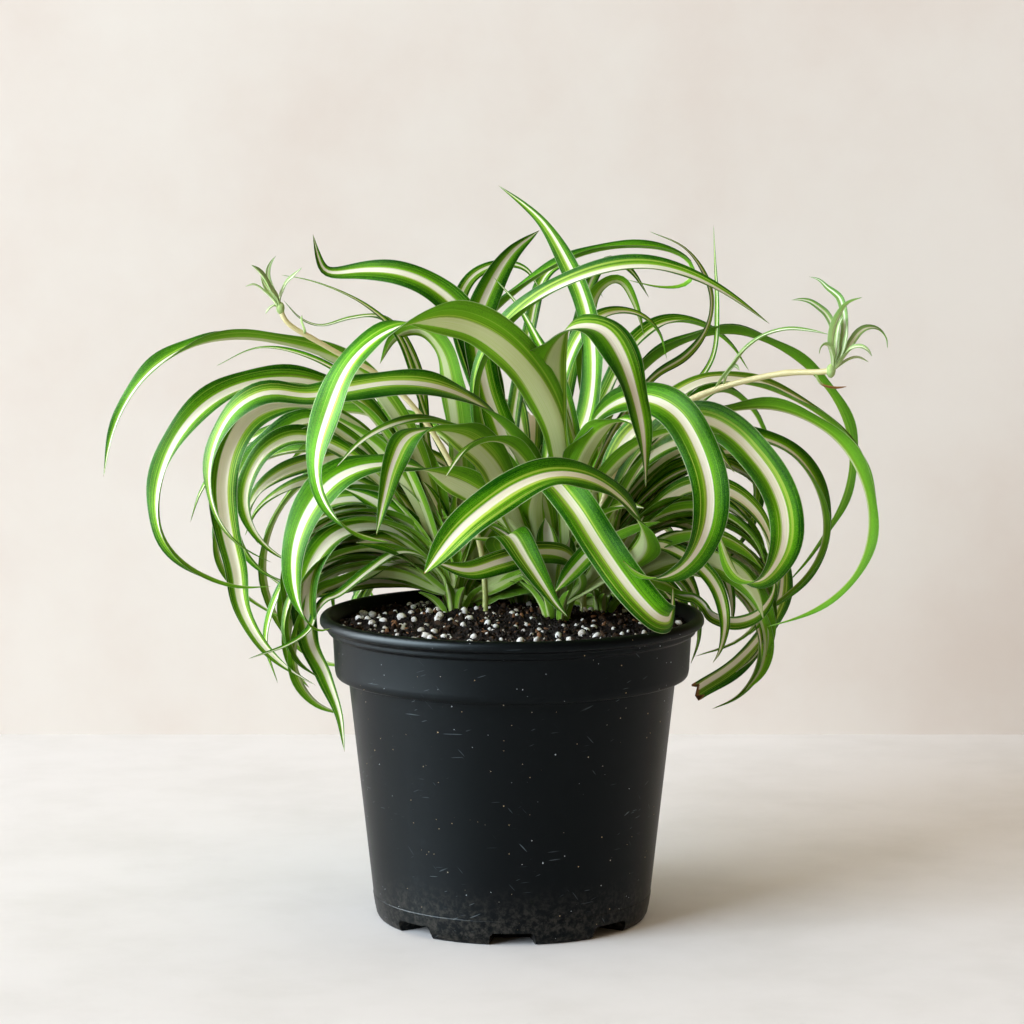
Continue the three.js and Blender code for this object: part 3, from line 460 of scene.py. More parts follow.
def pebble(detail):
    """The corners and faces of a round lump of radius 1."""
    ball = bmesh.new()
    bmesh.ops.create_icosphere(ball, subdivisions=detail, radius=1)
    corners = np.array([v.co for v in ball.verts])
    faces = [[v.index for v in face.verts] for face in ball.faces]
    ball.free()
    return corners, faces


def turn_at_random():
    """A random rotation, as a 3 by 3 table."""
    table, _ = np.linalg.qr(scatter.normal(size=(3, 3)))
    return table * np.sign(np.linalg.det(table))


def strewn(count, detail, size, stretch, sink, rough, apart):
    """Lumps strewn on the mix, with none nearer to another than apart. Their sizes and stretches are
    drawn from the ranges given."""
    corners, faces = pebble(detail)
    all_vertices = []
    all_faces = []
    middles = []
    edge = soil_radius - 0.1
    while len(middles) < count:
        radius = strewn_radius * math.sqrt(scatter.random())
        angle = 2 * math.pi * scatter.random()
        x, y = radius * math.cos(angle), radius * math.sin(angle)
        if apart and any(math.hypot(x - a, y - b) < apart for a, b in middles):
            continue
        first = len(middles) * len(corners)
        middles.append((x, y))
        big = lerp(*size, scatter.random() ** 1.8)
        shape = corners.copy()
        for _ in range(4):
            wave = scatter.normal(size=3) * 2.2
            shape *= 1 + rough * np.sin(corners @ wave + 6 * scatter.random())[:, None]
        shape *= big * np.array([lerp(*stretch, scatter.random()), 1, lerp(0.65, 1, scatter.random())])
        shape = shape @ turn_at_random().T
        shape += (x, y, soil_top(x, y) + crumbled(x, y) + sink * big)
        outside = np.hypot(shape[:, 0], shape[:, 1]).max()
        if outside > edge:
            shape[:, :2] *= edge / outside
        all_vertices.append(shape)
        all_faces += [[corner + first for corner in face] for face in faces]
    return np.vstack(all_vertices), all_faces


def mineral(name, pale, dark, scale, bump):
    """A dry lump: two tones broken up by pits."""
    material, tree, shader = new_finish(name, {"Specular IOR Level": 0.08})
    place = own_place(tree)
    pits = place.noise(scale, 5, 0.7)
    tint = place.noise(0.11, 2)
    tone = (pits.smooth(0.62, 0.4) * tint.smooth(0.3, 0.65)).between(colour(pale), colour(dark))
    feed(shader, Base_Color=tone, Roughness=pits.smooth(0.3, 0.7, 0.75, 0.95), Normal=bumped(pits, bump))
    return material


def strew(material, **rule):
    """Strews lumps of one material."""
    fit_on(new_piece(material.name, *strewn(**rule), material))


strew(
    mineral("perlite", pale="f3efe8", dark="a89a8a", scale=0.9, bump=0.15),
    count=210, detail=2, size=(0.7, 2), stretch=(0.9, 1.35), sink=0.25, rough=0.05, apart=4.6,
)
strew(
    mineral("perlite_dust", pale="cfc3b0", dark="7d6b58", scale=2.5, bump=0.2),
    count=200, detail=1, size=(0.3, 0.65), stretch=(0.9, 1.4), sink=0.3, rough=0.1, apart=2,
)
strew(
    mineral("bark", pale="33210f", dark="0e0805", scale=1.3, bump=0.6),
    count=380, detail=2, size=(0.5, 1.4), stretch=(1.3, 2.8), sink=0.15, rough=0.12, apart=0,
)
strew(
    mineral("pale_bark", pale="916544", dark="402917", scale=1.3, bump=0.5),
    count=150, detail=2, size=(0.4, 1.2), stretch=(1.3, 2.4), sink=0.2, rough=0.12, apart=0,
)
strew(
    mineral("crumbs", pale="18110b", dark="050302", scale=1.2, bump=0.5),
    count=3200, detail=1, size=(0.3, 1.1), stretch=(0.9, 1.6), sink=0.2, rough=0.14, apart=0,
)


# The leaves: each one is a long blade, folded up along its midrib at the root and flatter farther
# out, drawn out to a point. The crowns hang in layers, one behind another.
crown_root_height = 134
rim_depth = 9
line_steps = 96
usual_roll = (5, 25, 35, 30, 20)
side_roll = (0, 20, 38, 38, 25)
front_fold, side_fold = 17, 34
front_layer_end = 17
side_layer_start, side_layer_end = 25, 43
back_layer_start = 45
layers_part_at = 35
layer_flare = 0.35
layer_gap = 0.7
growth = np.random.default_rng(5)


def smoothstep(value, low, high):
    t = np.clip((value - low) / (high - low), 0, 1)
    return t * t * (3 - 2 * t)


def leaf(name, width, path, roll=usual_roll, fold=front_fold, **extras):
    """A leaf as listed: its path is [across, height, depth] as the eye sees it on the middle plane, and its
    roll, in degrees at even stations from root to tip, turns the upper side to the eye."""
    places = np.array([(across, depth, height) for across, height, depth in path], float)
    usual = dict(whole=1, brown=0, pale=0, tip=2.4, stripe=(0.14, 0.22), coarse=False, in_view=False)
    return SimpleNamespace(name=name, width=width, path=places, roll=roll, fold=fold, **{**usual, **extras})


def layer_spread(across):
    """How much farther apart the layers are, out past the pot's middle."""
    return layer_flare * max(0, abs(across) - layers_part_at)


def front_layer(across):
    return -math.inf, front_layer_end - layer_spread(across)


def side_layer(across):
    return side_layer_start - layer_spread(across), side_layer_end + layer_spread(across)


def back_layer(across):
    return back_layer_start + layer_spread(across), math.inf


def open_layer(across):
    return -math.inf, math.inf


def side_leaf(name, width, lane, path, roll=side_roll, fold=side_fold, **extras):
    """A leaf of a side crown: it keeps its own lane in the layer, from 0 at the front to 1 at the back."""
    in_lane = [[across, height, lerp(*side_layer(across), lane)] for across, height in path]
    return leaf(name, width, in_lane, roll, fold, in_view=True, stripe=(0.24, 0.38), **extras)


def sprout(root, reach=1, rise=0, layer=open_layer, in_pot=False):
    """What leaves grow from: how far out and up from its root they start, and the layer they keep to."""
    root = np.asarray(root, float)
    return SimpleNamespace(root=root, reach=reach, rise=rise, layer=layer, in_pot=in_pot)


front_leaves = [
    leaf("long twist", 19, [
        [25, 190, -12], [21, 220, -26], [8, 244, -42], [-10, 260, -56], [-28, 266, -66], [-43, 264, -74],
        [-58, 258, -80], [-71, 246, -85], [-80, 226, -88], [-86, 204, -88], [-84, 188, -86],
        [-75, 175, -82], [-63, 169, -78], [-53, 167, -74],
    ], [-30, -50, -60, -55, -35, 40, 65, 50, -20]),
    leaf("short arch", 17, [
        [2, 182, -20], [-8, 204, -40], [-22, 215, -56], [-36, 216.5, -68], [-46, 213, -77], [-52, 202, -84],
        [-56, 187, -89], [-60, 170, -92],
    ], [-40, -65, -75, -65, 0, 60, 50]),
    leaf("middle arch", 16, [
        [12, 188, -12], [4, 208, -22], [-12, 226, -32], [-32, 235, -40], [-52, 237, -46], [-72, 234, -50],
        [-90, 231, -53], [-107, 233, -55], [-121, 226, -56], [-130, 211, -56], [-133, 193, -56],
        [-129, 177, -54], [-119, 165, -51], [-106, 158, -48],
    ], [-40, -60, 10, 50, 45, 50, 40, 30]),
    leaf("left fall", 18, [
        [5, 170, -14], [-18, 190, -28], [-42, 200, -38], [-62, 201, -44], [-78, 195, -48], [-90, 181, -50],
        [-96, 164, -50], [-96, 147, -48], [-92, 134, -45], [-86, 127.5, -42], [-79, 129, -40],
    ], [-30, -60, -50, 20, 60, 50, 0]),
    leaf("front sweep", 17, [
        [42, 150, -8], [58, 163, -24], [56, 176, -44], [46, 188, -62], [33, 195.5, -77], [18, 197, -89],
        [3, 192, -99], [-12, 182, -107], [-25, 170.5, -112], [-39, 153, -115],
    ], [0, 20, 50, 55, 45, 65, 75], tip=8),
    leaf("right fall", 17, [
        [13, 158, -4], [10, 183, -18], [17, 195, -36], [28, 184, -48], [39, 167, -54], [50, 151, -57],
        [58, 141, -58], [65, 134, -57], [68.5, 132.6, -52], [69.5, 134, -46], [70.5, 139, -42],
        [71, 147, -40],
    ], [0, 0, 40, 70, 70, 60, 20], tip=6),
    leaf("front drop", 16, [
        [10, 150, -12], [-4, 166, -30], [0, 170, -44], [7, 159, -52], [14, 148, -55], [20, 139, -56],
        [25, 133.5, -56],
    ], [0, 30, 70, 75], tip=1.8),
    leaf("level front", 11, [
        [30, 148, -6], [24, 160, -22], [10, 162, -38], [-5, 158, -52], [-20, 154, -62], [-34, 158, -68],
    ], [20, 60, 60, 60], tip=5),
    leaf("small under", 13, [
        [38, 152, -4], [44, 166, -14], [36, 163, -28], [28, 155, -36], [19, 145, -42],
    ], [0, 30, 60, 70], tip=4),
    leaf("double crest", 20, [
        [22, 190, -8], [15, 220, -20], [15, 246, -34], [22, 259, -46], [31, 262, -56], [40, 260, -64],
        [47, 250, -72], [53, 233, -79], [57, 215, -85], [59, 191, -90],
    ], [-50, -60, -50, 0, 60, 65, 50, 30], tip=3),
    leaf("big curl", 17, [
        [34, 182, -6], [30, 204, -18], [36, 220, -32], [48, 229.5, -44], [61, 230.5, -54], [73, 224, -63],
        [82, 209.5, -70], [87, 193, -74], [87, 177, -76], [82, 164, -76], [74, 155, -73], [64, 151, -69],
        [54, 154, -64], [49, 159, -60],
    ], [-50, -40, 0, 50, 65, 70, 60, 20, -30], tip=5),
    leaf("second curl", 16, [
        [40, 175, 0], [55, 203, -8], [70, 218.5, -20], [84, 222.5, -30], [97, 216.5, -38],
        [108, 205.5, -46], [116, 194, -52], [121, 180, -56], [121, 167, -57], [116, 156, -55],
        [109, 149.5, -51], [101, 151, -46], [95, 160, -40], [91, 172, -36],
    ], [0, 20, 50, 65, 65, 55, 10, -30], tip=5),
    leaf("outer loop", 15, [
        [45, 180, -4], [62, 208, -10], [80, 221, -16], [98, 225.5, -22], [115, 226, -28], [130, 221, -33],
        [143, 212, -37], [152, 199, -40], [157, 184, -41], [157, 168, -41], [152, 154, -40],
        [142, 143, -37], [128, 134.5, -34], [112, 129, -31],
    ], [0, 20, 10, -20, -30, -20, -10], 30),
    leaf("arch over the top", 15, [
        [2, 190, -6], [-12, 218, -12], [-14, 240, -18], [-4, 259, -24], [12, 274, -29], [30, 283, -33],
        [47, 287.5, -35], [62, 288, -36], [77, 284.5, -36], [90, 278.5, -35], [102, 271, -34],
        [113, 263.5, -32],
    ], (10, 5, 5, 12, 15), 38, in_view=True),
    leaf("small upright", 9, [[28, 175, 2], [30, 200, 4], [25, 220, 6], [19, 238, 6]], [-20]),
    leaf("thin pointed", 9, [
        [24, 180, 6], [28, 210, 8], [22, 238, 8], [13, 255, 6], [3, 272, 4], [-8, 284, 2],
    ]),
]

left_leaves = [
    side_leaf("far arch", 16, 0.12, [
        [-38, 190], [-52, 222], [-66, 240], [-82, 249], [-100, 254.5], [-120, 257], [-139, 254],
        [-156, 244.5], [-168, 231], [-176, 214], [-180, 196],
    ], [-50, -55, -45, -30, 0, 20]),
    side_leaf("big loop", 16, 0.03, [
        [-40, 183], [-54, 211], [-68, 228], [-84, 236], [-101, 238.5], [-118, 236], [-133, 228.5],
        [-145, 216], [-152.5, 201], [-156, 185], [-154, 170], [-145, 158.5], [-133, 151.5], [-120, 147.5],
        [-106.5, 147.5],
    ], [-10, 0, 12, 20, 25, 0, -20, -20]),
    side_leaf("long inner loop", 16, 0.2, [
        [-42, 180], [-60, 208], [-78, 222], [-97, 228], [-113, 224], [-123, 210], [-127, 192], [-125, 172],
        [-121, 155], [-119, 139], [-111, 123], [-99, 111], [-87, 103],
    ], [-40, -40, 0, 55, 60, 50, 20]),
    side_leaf("thin tip", 10, 0.65, [
        [-46, 172], [-64, 200], [-80, 214], [-96, 218], [-112, 213], [-127, 203], [-137, 189], [-142, 176],
    ]),
    side_leaf("twisted loop", 14, 0.4, [
        [-40, 165], [-56, 194], [-73, 213], [-89, 221], [-104, 213], [-116, 202], [-122, 188], [-121, 174],
        [-117, 163], [-108, 153], [-98, 149],
    ]),
    side_leaf("inner curl", 14, 0.28, [
        [-40, 170], [-58, 192], [-78, 208], [-95, 213], [-108, 207], [-115, 196], [-117, 184], [-113, 172],
        [-105, 163], [-97, 158],
    ]),
    side_leaf("dark curl", 14, 0.5, [
        [-36, 175], [-52, 195], [-70, 203], [-88, 201], [-102, 196], [-112, 188], [-116, 177], [-112, 166],
    ]),
    side_leaf("under curl", 11, 0.6, [
        [-38, 168], [-54, 184], [-72, 193], [-90, 193], [-103, 188], [-112, 181], [-118, 170],
    ]),
    side_leaf("first of the fan", 15, 0.85, [
        [-32, 170], [-37, 196], [-50, 215], [-66, 224], [-82, 223], [-94, 214],
    ], [-20, -45, -40, -20, 0]),
    side_leaf("second of the fan", 16, 0.95, [
        [-33, 168], [-42, 190], [-56, 206], [-72, 213], [-87, 210], [-99, 202],
    ], [-20, -45, -40, -20, 0]),
    side_leaf("third of the fan", 15, 0.75, [
        [-34, 162], [-46, 182], [-62, 194], [-80, 196], [-94, 189],
    ], [-20, -45, -40, -20, 0]),
    side_leaf("fourth of the fan", 14, 0.45, [
        [-36, 158], [-50, 176], [-66, 185], [-82, 183], [-94, 174], [-100, 162],
    ]),
    side_leaf("short level", 14, 0, [[-37, 150], [-47, 161], [-58, 167], [-69, 167]], [0, 60]),
    side_leaf("thin over the rim", 6, 0.04, [
        [-30, 150], [-38, 159], [-50, 162], [-62, 155], [-72, 147], [-82, 138.5], [-90, 127], [-99, 121],
        [-117, 115],
    ], [0, 10, 14, 10, 5]),
    side_leaf("low thin", 8, 0.3, [
        [-30, 148], [-40, 156], [-52, 157], [-64, 151.5], [-78, 147], [-92, 145], [-104, 147],
    ]),
    side_leaf("low wide", 11, 0.7, [
        [-33, 146], [-48, 151], [-64, 150.5], [-80, 147], [-96, 147], [-108, 152],
    ]),
    side_leaf("hanger by the pot", 15, 0.16, [
        [-40, 160], [-58, 172], [-76, 170], [-88, 157], [-91, 140], [-87, 122], [-81, 106], [-76, 90],
        [-74.5, 73],
    ]),
    side_leaf("pale drop", 8, 0.55, [
        [-45, 165], [-68, 172], [-88, 163], [-100, 149], [-106, 136], [-108.5, 122], [-104, 104],
    ]),
    side_leaf("lower loop", 12, 1, [
        [-45, 185], [-75, 205], [-105, 205], [-124, 190], [-130, 170], [-128, 157], [-120, 146],
        [-108, 137], [-95, 131],
    ]),
]

right_leaves = [
    side_leaf("outer behind", 14, 0.9, [
        [48, 190], [64, 222], [84, 237], [104, 237], [122, 231], [137, 222], [149, 211], [157, 198],
        [161, 184],
    ]),
    side_leaf("inner ring", 16, 0.75, [
        [50, 180], [70, 203], [92, 213], [110, 212], [123, 206], [132, 195], [137, 181], [137, 167],
        [131, 154], [121, 144], [110, 136], [100, 132],
    ]),
    side_leaf("low level", 12, 0.2, [
        [54, 152], [66, 150], [78, 142], [88, 136], [99, 133], [109, 136.5], [115, 145], [116, 154],
    ]),
    side_leaf("torn", 16, 1.0, [
        [52, 175], [75, 197], [98, 202], [113, 190], [119, 172], [119, 155], [118, 142], [110, 126],
        [98, 113], [82, 102],
    ], (0, 10, 40, 70, 80), 20, whole=0.72),
    side_leaf("droop over the rim", 9, 0, [
        [50, 158], [64, 165], [80, 158], [90, 147], [94, 132], [92, 119], [89, 113],
    ]),
    side_leaf("dark droop", 9, 0.3, [[55, 158], [72, 168], [86, 163], [94, 151], [97, 138], [97, 128]]),
    side_leaf("first of the fan", 16, 0.5, [
        [44, 170], [44, 195], [52, 213], [66, 222], [80, 220], [92, 210],
    ]),
    side_leaf("second of the fan", 15, 0.4, [
        [46, 165], [50, 188], [60, 204], [74, 211], [88, 208], [98, 198],
    ]),
    side_leaf("third of the fan", 14, 0.6, [
        [48, 160], [58, 182], [70, 196], [86, 202], [102, 197], [113, 186], [119, 172],
    ]),
    side_leaf("fourth of the fan", 14, 0.32, [
        [50, 158], [62, 178], [78, 190], [94, 189], [106, 181], [113, 170], [115, 158],
    ]),
    side_leaf("fifth of the fan", 12, 0.5, [
        [48, 152], [58, 168], [68, 175], [80, 173], [90, 164], [94, 152],
    ]),
    side_leaf("pale behind", 14, 0.62, [
        [52, 170], [75, 196], [96, 207], [106, 195], [105, 178], [99, 165], [92, 156],
    ]),
]

back_leaves = [
    leaf("broad top left", 16, [
        [-8, 200, 58], [-12, 240, 62], [-22, 267, 66], [-36, 280, 68], [-50, 285.5, 69], [-65, 286.5, 71],
        [-76, 285.5, 72], [-82, 286, 72], [-85, 293, 72], [-87, 303, 72],
    ], [50]),
    leaf("broad upright", 15, [
        [0, 200, 58], [-12, 238, 58], [-15, 264, 58], [-9, 281, 57], [0, 295, 56], [12, 304.5, 56],
    ], [60], tip=4),
    leaf("tallest", 13, [
        [20, 190, 56], [34, 225, 56], [36, 250, 56], [32, 274, 56], [25, 290, 57], [14, 308, 57],
        [4, 317, 58], [-6, 324, 58],
    ], [50]),
    leaf("upper arc", 12, [
        [-2, 200, 68], [-14, 235, 74], [-12, 262, 76], [3, 278, 77], [20, 289, 78], [38, 295.5, 79],
        [56, 297, 80], [71, 294.5, 81], [79, 288.5, 82], [77, 282, 83], [66, 280, 82], [50, 283, 80],
    ], (0, 0, 5, 15, 25), 34, in_view=True),
    leaf("pale hook", 7, [
        [30, 190, 54], [46, 220, 54], [62, 241, 56], [76, 250, 60], [85, 262, 62], [87, 275, 63],
        [83, 287, 63], [75, 297, 63], [60, 304, 63],
    ], in_view=True),
    leaf("thin upright", 4, [
        [40, 190, 60], [70, 225, 70], [88, 248, 76], [90, 270, 78], [89, 290, 79], [88, 307, 80],
    ]),
    leaf("outer right", 15, [
        [30, 185, 64], [45, 225, 70], [62, 247, 76], [80, 257, 80], [97, 259.5, 83], [113, 255, 85],
        [127, 246, 87], [139, 234, 88], [147, 218, 88], [149, 203, 88], [146, 187, 88], [139, 173, 87],
        [130, 159, 86], [121, 148, 84],
    ], (0, 5, 10, 20), 36, in_view=True),
    leaf("next outer right", 13, [
        [25, 190, 70], [40, 228, 80], [55, 255, 88], [68, 264, 93], [82, 263, 96], [95, 255, 98],
        [104, 243, 100],
    ], side_roll, 36, in_view=True),
    leaf("dark crest", 12, [
        [15, 190, 60], [22, 235, 62], [32, 260, 64], [44, 268, 66], [56, 267, 68], [64, 260, 70],
        [68, 248, 71],
    ], side_roll, 30, in_view=True),
    leaf("pale under the arc", 12, [
        [38, 200, 66], [32, 250, 70], [38, 278, 73], [47, 283, 74], [54, 272, 75], [58, 258, 76],
    ], [-60]),
    leaf("first small crest", 8, [
        [-10, 220, 78], [-24, 268, 82], [-18, 284, 84], [-5, 290, 86], [6, 288, 87], [13, 277, 88],
    ]),
    leaf("second small crest", 8, [
        [0, 215, 84], [8, 262, 88], [14, 284, 90], [22, 290, 92], [32, 286, 93], [40, 275, 94],
    ]),
    leaf("third small crest", 8, [
        [20, 215, 84], [30, 265, 88], [36, 285, 90], [43, 292, 91], [52, 287, 92], [60, 275, 93],
    ]),
    leaf("low right", 13, [
        [55, 190, 78], [75, 222, 90], [92, 234, 98], [105, 226, 103], [112, 211, 106], [113, 196, 106],
    ], side_roll, 36, in_view=True),
    leaf("pale lobe", 17, [
        [-20, 175, 55], [-23, 205, 55], [-26, 232, 55], [-31, 252, 55], [-40, 261, 56], [-51, 258, 58],
        [-58, 246, 60],
    ], [-50]),
    leaf("far behind", 6, [
        [-45, 205, 58], [-70, 238, 56], [-92, 250, 54], [-112, 253, 52], [-130, 245, 51],
    ], in_view=True),
    leaf("wavy top", 6, [
        [-35, 200, 62], [-42, 245, 66], [-56, 266, 70], [-70, 266, 74], [-84, 262.5, 78], [-93, 266, 82],
        [-100, 274, 86],
    ]),
    leaf("thin top", 5, [
        [-35, 215, 56], [-50, 258, 58], [-62, 270, 62], [-76, 278, 66], [-90, 283, 71], [-101, 285, 75],
    ]),
]


def eased_below(value, limit, ease):
    """The value, eased to stay below a limit."""
    start = limit - ease
    return limit - ease * math.exp((start - value) / ease) if value > start else value


def eased_above(value, limit, ease):
    return -eased_below(-value, -limit, ease)


def real_place(seen):
    """From a place as the eye sees it on the middle plane, and its depth, to the real place."""
    nearer = 1 + seen[1] / eye_distance
    return np.array([seen[0] * nearer, seen[1], eye_height + (seen[2] - eye_height) * nearer])


def seen_place(real):
    """The other way round."""
    nearer = 1 + real[1] / eye_distance
    return np.array([real[0] / nearer, real[1], eye_height + (real[2] - eye_height) / nearer])


def as_listed(real):
    """A real place as a leaf's path lists it: across, height and depth."""
    across, depth, height = seen_place(real)
    return [across, height, depth]


def curve_through(points, dense=24):
    """A close run of points on a smooth curve through the given ones."""
    points = np.asarray(points, float)
    ends = np.vstack([2 * points[0] - points[1], points, 2 * points[-1] - points[-2]])
    t = np.linspace(0, 1, dense, endpoint=False)[:, None]
    pieces = []
    for a, b, c, d in zip(ends, ends[1:], ends[2:], ends[3:]):
        first, middle, last = (math.sqrt(np.linalg.norm(q - p)) for p, q in ((a, b), (b, c), (c, d)))
        leave = ((b - a) / first - (c - a) / (first + middle) + (c - b) / middle) * middle
        arrive = ((c - b) / middle - (d - b) / (middle + last) + (d - c) / last) * middle
        rest = 3 * (c - b) - 2 * leave - arrive
        pieces.append(b + leave * t + rest * t**2 + (2 * (b - c) + leave + arrive) * t**3)
    return np.vstack([*pieces, points[-1:]])


def evenly(points, count):
    """The same line as evenly spaced points, and its length."""
    lengths = np.concatenate([[0], np.cumsum(np.linalg.norm(np.diff(points, axis=0), axis=1))])
    places = np.linspace(0, lengths[-1], count)
    return np.stack([np.interp(places, lengths, points[:, k]) for k in range(3)], axis=1), lengths[-1]


def blade_profile(s, tip=2.4):
    """How wide a blade is along its length, as a part of its full width."""
    base = 0.42 + 0.58 * smoothstep(s, 0, 0.35)
    return base * (1 - (np.maximum(s - 0.5, 0) / 0.5) ** tip)


def pot_reach(height):
    """How far out the pot reaches at a height, a little full under the rim and the collar."""
    full = smoothstep(height, collar_bottom - 12, collar_bottom + 14)
    return lerp(body_radius(height), rim_radius, full)


def clear_of_pot(point, half, crown):
    """Keeps a blade off the pot: above the rim inside it, and clear of the wall outside it."""
    clearance = 1 + 0.7 * half
    radial = math.hypot(point[0], point[1])
    up = point[2] - pot_height
    if up > -rim_depth and radial < rim_radius:
        away = smoothstep(math.hypot(point[0] - crown.root[0], point[1] - crown.root[1]), 6, 20)
        lowest = lerp(crown_root_height - 4, pot_height + clearance, away)
        point[2] = eased_above(point[2], lowest, 3 * away + 0.01)
        return
    out = radial - pot_reach(point[2])
    reach = math.hypot(out, up) if up > 0 else out
    if reach > clearance + 3:
        return
    gain = eased_above(reach, clearance, 3) - reach
    upward = up / reach if up > 0 else 0
    point[:2] *= 1 + gain * math.sqrt(1 - upward**2) / radial
    point[2] += gain * upward


def leaf_line(each, crown):
    """The middle line of a leaf from its root in the crown, evenly spaced, at real size, and its length."""
    heading = real_place(each.path[0]) - crown.root
    climb = math.atan2(heading[2], math.hypot(heading[0], heading[1]))
    root = crown.root + np.append(np.clip(heading[:2], -crown.reach, crown.reach), crown.rise * climb)
    line, _ = evenly(curve_through([seen_place(root), *each.path]), line_steps + 1)
    for i, seen in enumerate(line):
        half = (each.width / 2) * blade_profile(each.whole * i / line_steps)
        near, far = crown.layer(seen[0])
        margin = half + layer_gap
        ease = min(6, max(1, (far - near) / 2 - margin))
        seen[1] = eased_below(seen[1], far - margin, ease)
        seen[1] = eased_above(seen[1], near + margin, ease)
        seen[:] = real_place(seen)
        if crown.in_pot:
            clear_of_pot(seen, half, crown)
    for _ in range(3):
        line[1:-1] = (line[:-2] + 2 * line[1:-1] + line[2:]) / 4
    return evenly(line, line_steps + 1)


def blade_frames(line, crown, in_view):
    """Along the line: the way ahead, and the way its upper side faces before any roll. That is inward at
    the root, or, for a leaf that stays in the plane of view, away from the side that it bends to."""
    ahead = np.gradient(line, axis=0)
    ahead /= np.linalg.norm(ahead, axis=1)[:, None]
    upper = crown.root - line[round(0.4 * line_steps)]
    upper[2] = 0
    if in_view:
        turning = np.cross(ahead[:-1], ahead[1:])[:, 1].sum()
        upper = np.cross(ahead[0], (0, math.copysign(1, turning), 0))
    sides = []
    for way in ahead:
        upper = upper - upper.dot(way) * way
        upper = upper / np.linalg.norm(upper)
        sides.append(upper)
    return ahead, np.array(sides)


def between_stations(stations, s):
    """A smooth value between evenly spaced stations."""
    stations = np.asarray(stations, float)
    place = s * (len(stations) - 1)
    low = np.minimum(np.floor(place).astype(int), max(len(stations) - 2, 0))
    high = np.minimum(low + 1, len(stations) - 1)
    return lerp(stations[low], stations[high], smoothstep(place - low, 0, 1))


class Growth:
    """Blades, stems and buds gathered into one mesh, with the values that the leaf finish reads."""

    def __init__(self):
        self.vertices = []
        self.faces = []
        names = ("grain", "stripe", "band", "stripe_below", "across", "pale", "brown", "tone")
        self.values = {name: [] for name in names}
        self.under = []
        self.count = 0

    def add(self, vertices, faces, under, **values):
        self.vertices.append(vertices)
        self.faces += [[corner + self.count for corner in face] for face in faces]
        self.under += under
        for name, kept in self.values.items():
            value = np.asarray(values[name], float)
            kept.append(np.broadcast_to(value, (len(vertices), *value.shape[1:])))
        self.count += len(vertices)

    def add_plain(self, vertices, faces, grain, stripe, pale, tone=1):
        """Adds a stem or a bud, which has one stripe all over and no brown tip or underside."""
        stripes = dict.fromkeys(("stripe", "band", "stripe_below"), stripe)
        under = [0.0] * len(faces)
        self.add(vertices, faces, under, grain=grain, across=0, pale=pale, brown=0, tone=tone, **stripes)

    def piece(self, name, finish):
        made = new_piece(name, np.vstack(self.vertices), self.faces, finish, sharp_over=70)
        for value, kept in self.values.items():
            joined = np.concatenate(kept)
            kind, field = ("FLOAT_VECTOR", "vector") if joined.ndim == 2 else ("FLOAT", "value")
            made.data.attributes.new(value, kind, "POINT").data.foreach_set(field, joined.ravel())
        made.data.attributes.new("under", "FLOAT", "FACE").data.foreach_set("value", self.under)
        return made


def tube_faces(rings, around):
    """The faces of a tube: its sides, ring by ring, and its first end."""
    faces = []
    for ring in range(rings - 1):
        for k in range(around):
            a = ring * around + k
            b = ring * around + (k + 1) % around
            faces.append((a, b, b + around, a + around))
    return [*faces, list(range(around))[::-1]]


# A blade's section has its corners at these shares of the half width, from margin to margin, and
# back again along its underside. A short blade has half as many rings.
section = np.array([-1, -0.93, -0.72, -0.46, -0.2, 0, 0.2, 0.46, 0.72, 0.93, 1])
section_round = np.concatenate([section, section[1:-1][::-1]])
short_blade = 90
midrib_round = 0.15
midrib_thickness = 0.55
margin_thickness = 0.24
root_fold = 60
tip_fold = 7
ripple_depth = 0.11
ripple_length = 150
below_shift = 0.26
below_wider = 0.16


def blade_rings(each, line, length, ahead, upper, turn):
    """The blade's places, ring by ring: over its upper face from margin to margin, and back below."""
    s = np.linspace(0, 1, len(line))
    profile = blade_profile(s * each.whole, each.tip)
    half = (each.width / 2) * profile
    thick = lerp(margin_thickness, midrib_thickness, profile)
    roll = np.radians(between_stations(each.roll, s) + 4 * np.sin(9 * s + 6 * growth.random()))[:, None]
    up = upper * np.cos(roll) + np.cross(ahead, upper) * turn * np.sin(roll)
    right = np.cross(ahead, up)
    fold = each.fold + (root_fold - each.fold) * (1 - smoothstep(s, 0, 0.4))
    fold = np.radians(fold + tip_fold * smoothstep(s, 0.6, 1))

    t = section[None, :]
    bowl = np.sqrt(t**2 + midrib_round**2) - midrib_round
    bowl = bowl / (math.sqrt(1 + midrib_round**2) - midrib_round)
    lift = half[:, None] * (np.sin(fold)[:, None] * bowl - 0.1 * t**4 * smoothstep(s, 0.2, 0.5)[:, None])
    waves, phases = growth.uniform(2, 4.5, 2), growth.uniform(0, 6.3, 2)
    turns = 2 * math.pi * s * length / ripple_length
    one_side, other_side = (np.sin(wave * turns + phase)[:, None] for wave, phase in zip(waves, phases))
    ripple = ripple_depth * np.where(t < 0, one_side, other_side)
    lift = lift + half[:, None] * t**2 * ripple * smoothstep(s, 0.15, 0.4)[:, None]
    sideways = half[:, None] * np.cos(fold)[:, None] * t
    skin = thick[:, None] / 2 * (1 - 0.6 * t**2)
    middle = line[:, None] + sideways[..., None] * right[:, None] + lift[..., None] * up[:, None]
    if each.whole < 1:
        middle[-1] += ahead[-1] * growth.uniform(-1.5, 2.5, len(section))[:, None]
    top = middle + (skin * (np.abs(t) < 1))[..., None] * up[:, None]
    bottom = (middle - skin[..., None] * up[:, None])[:, 1:-1]
    return np.concatenate([top, bottom[:, ::-1]], axis=1)


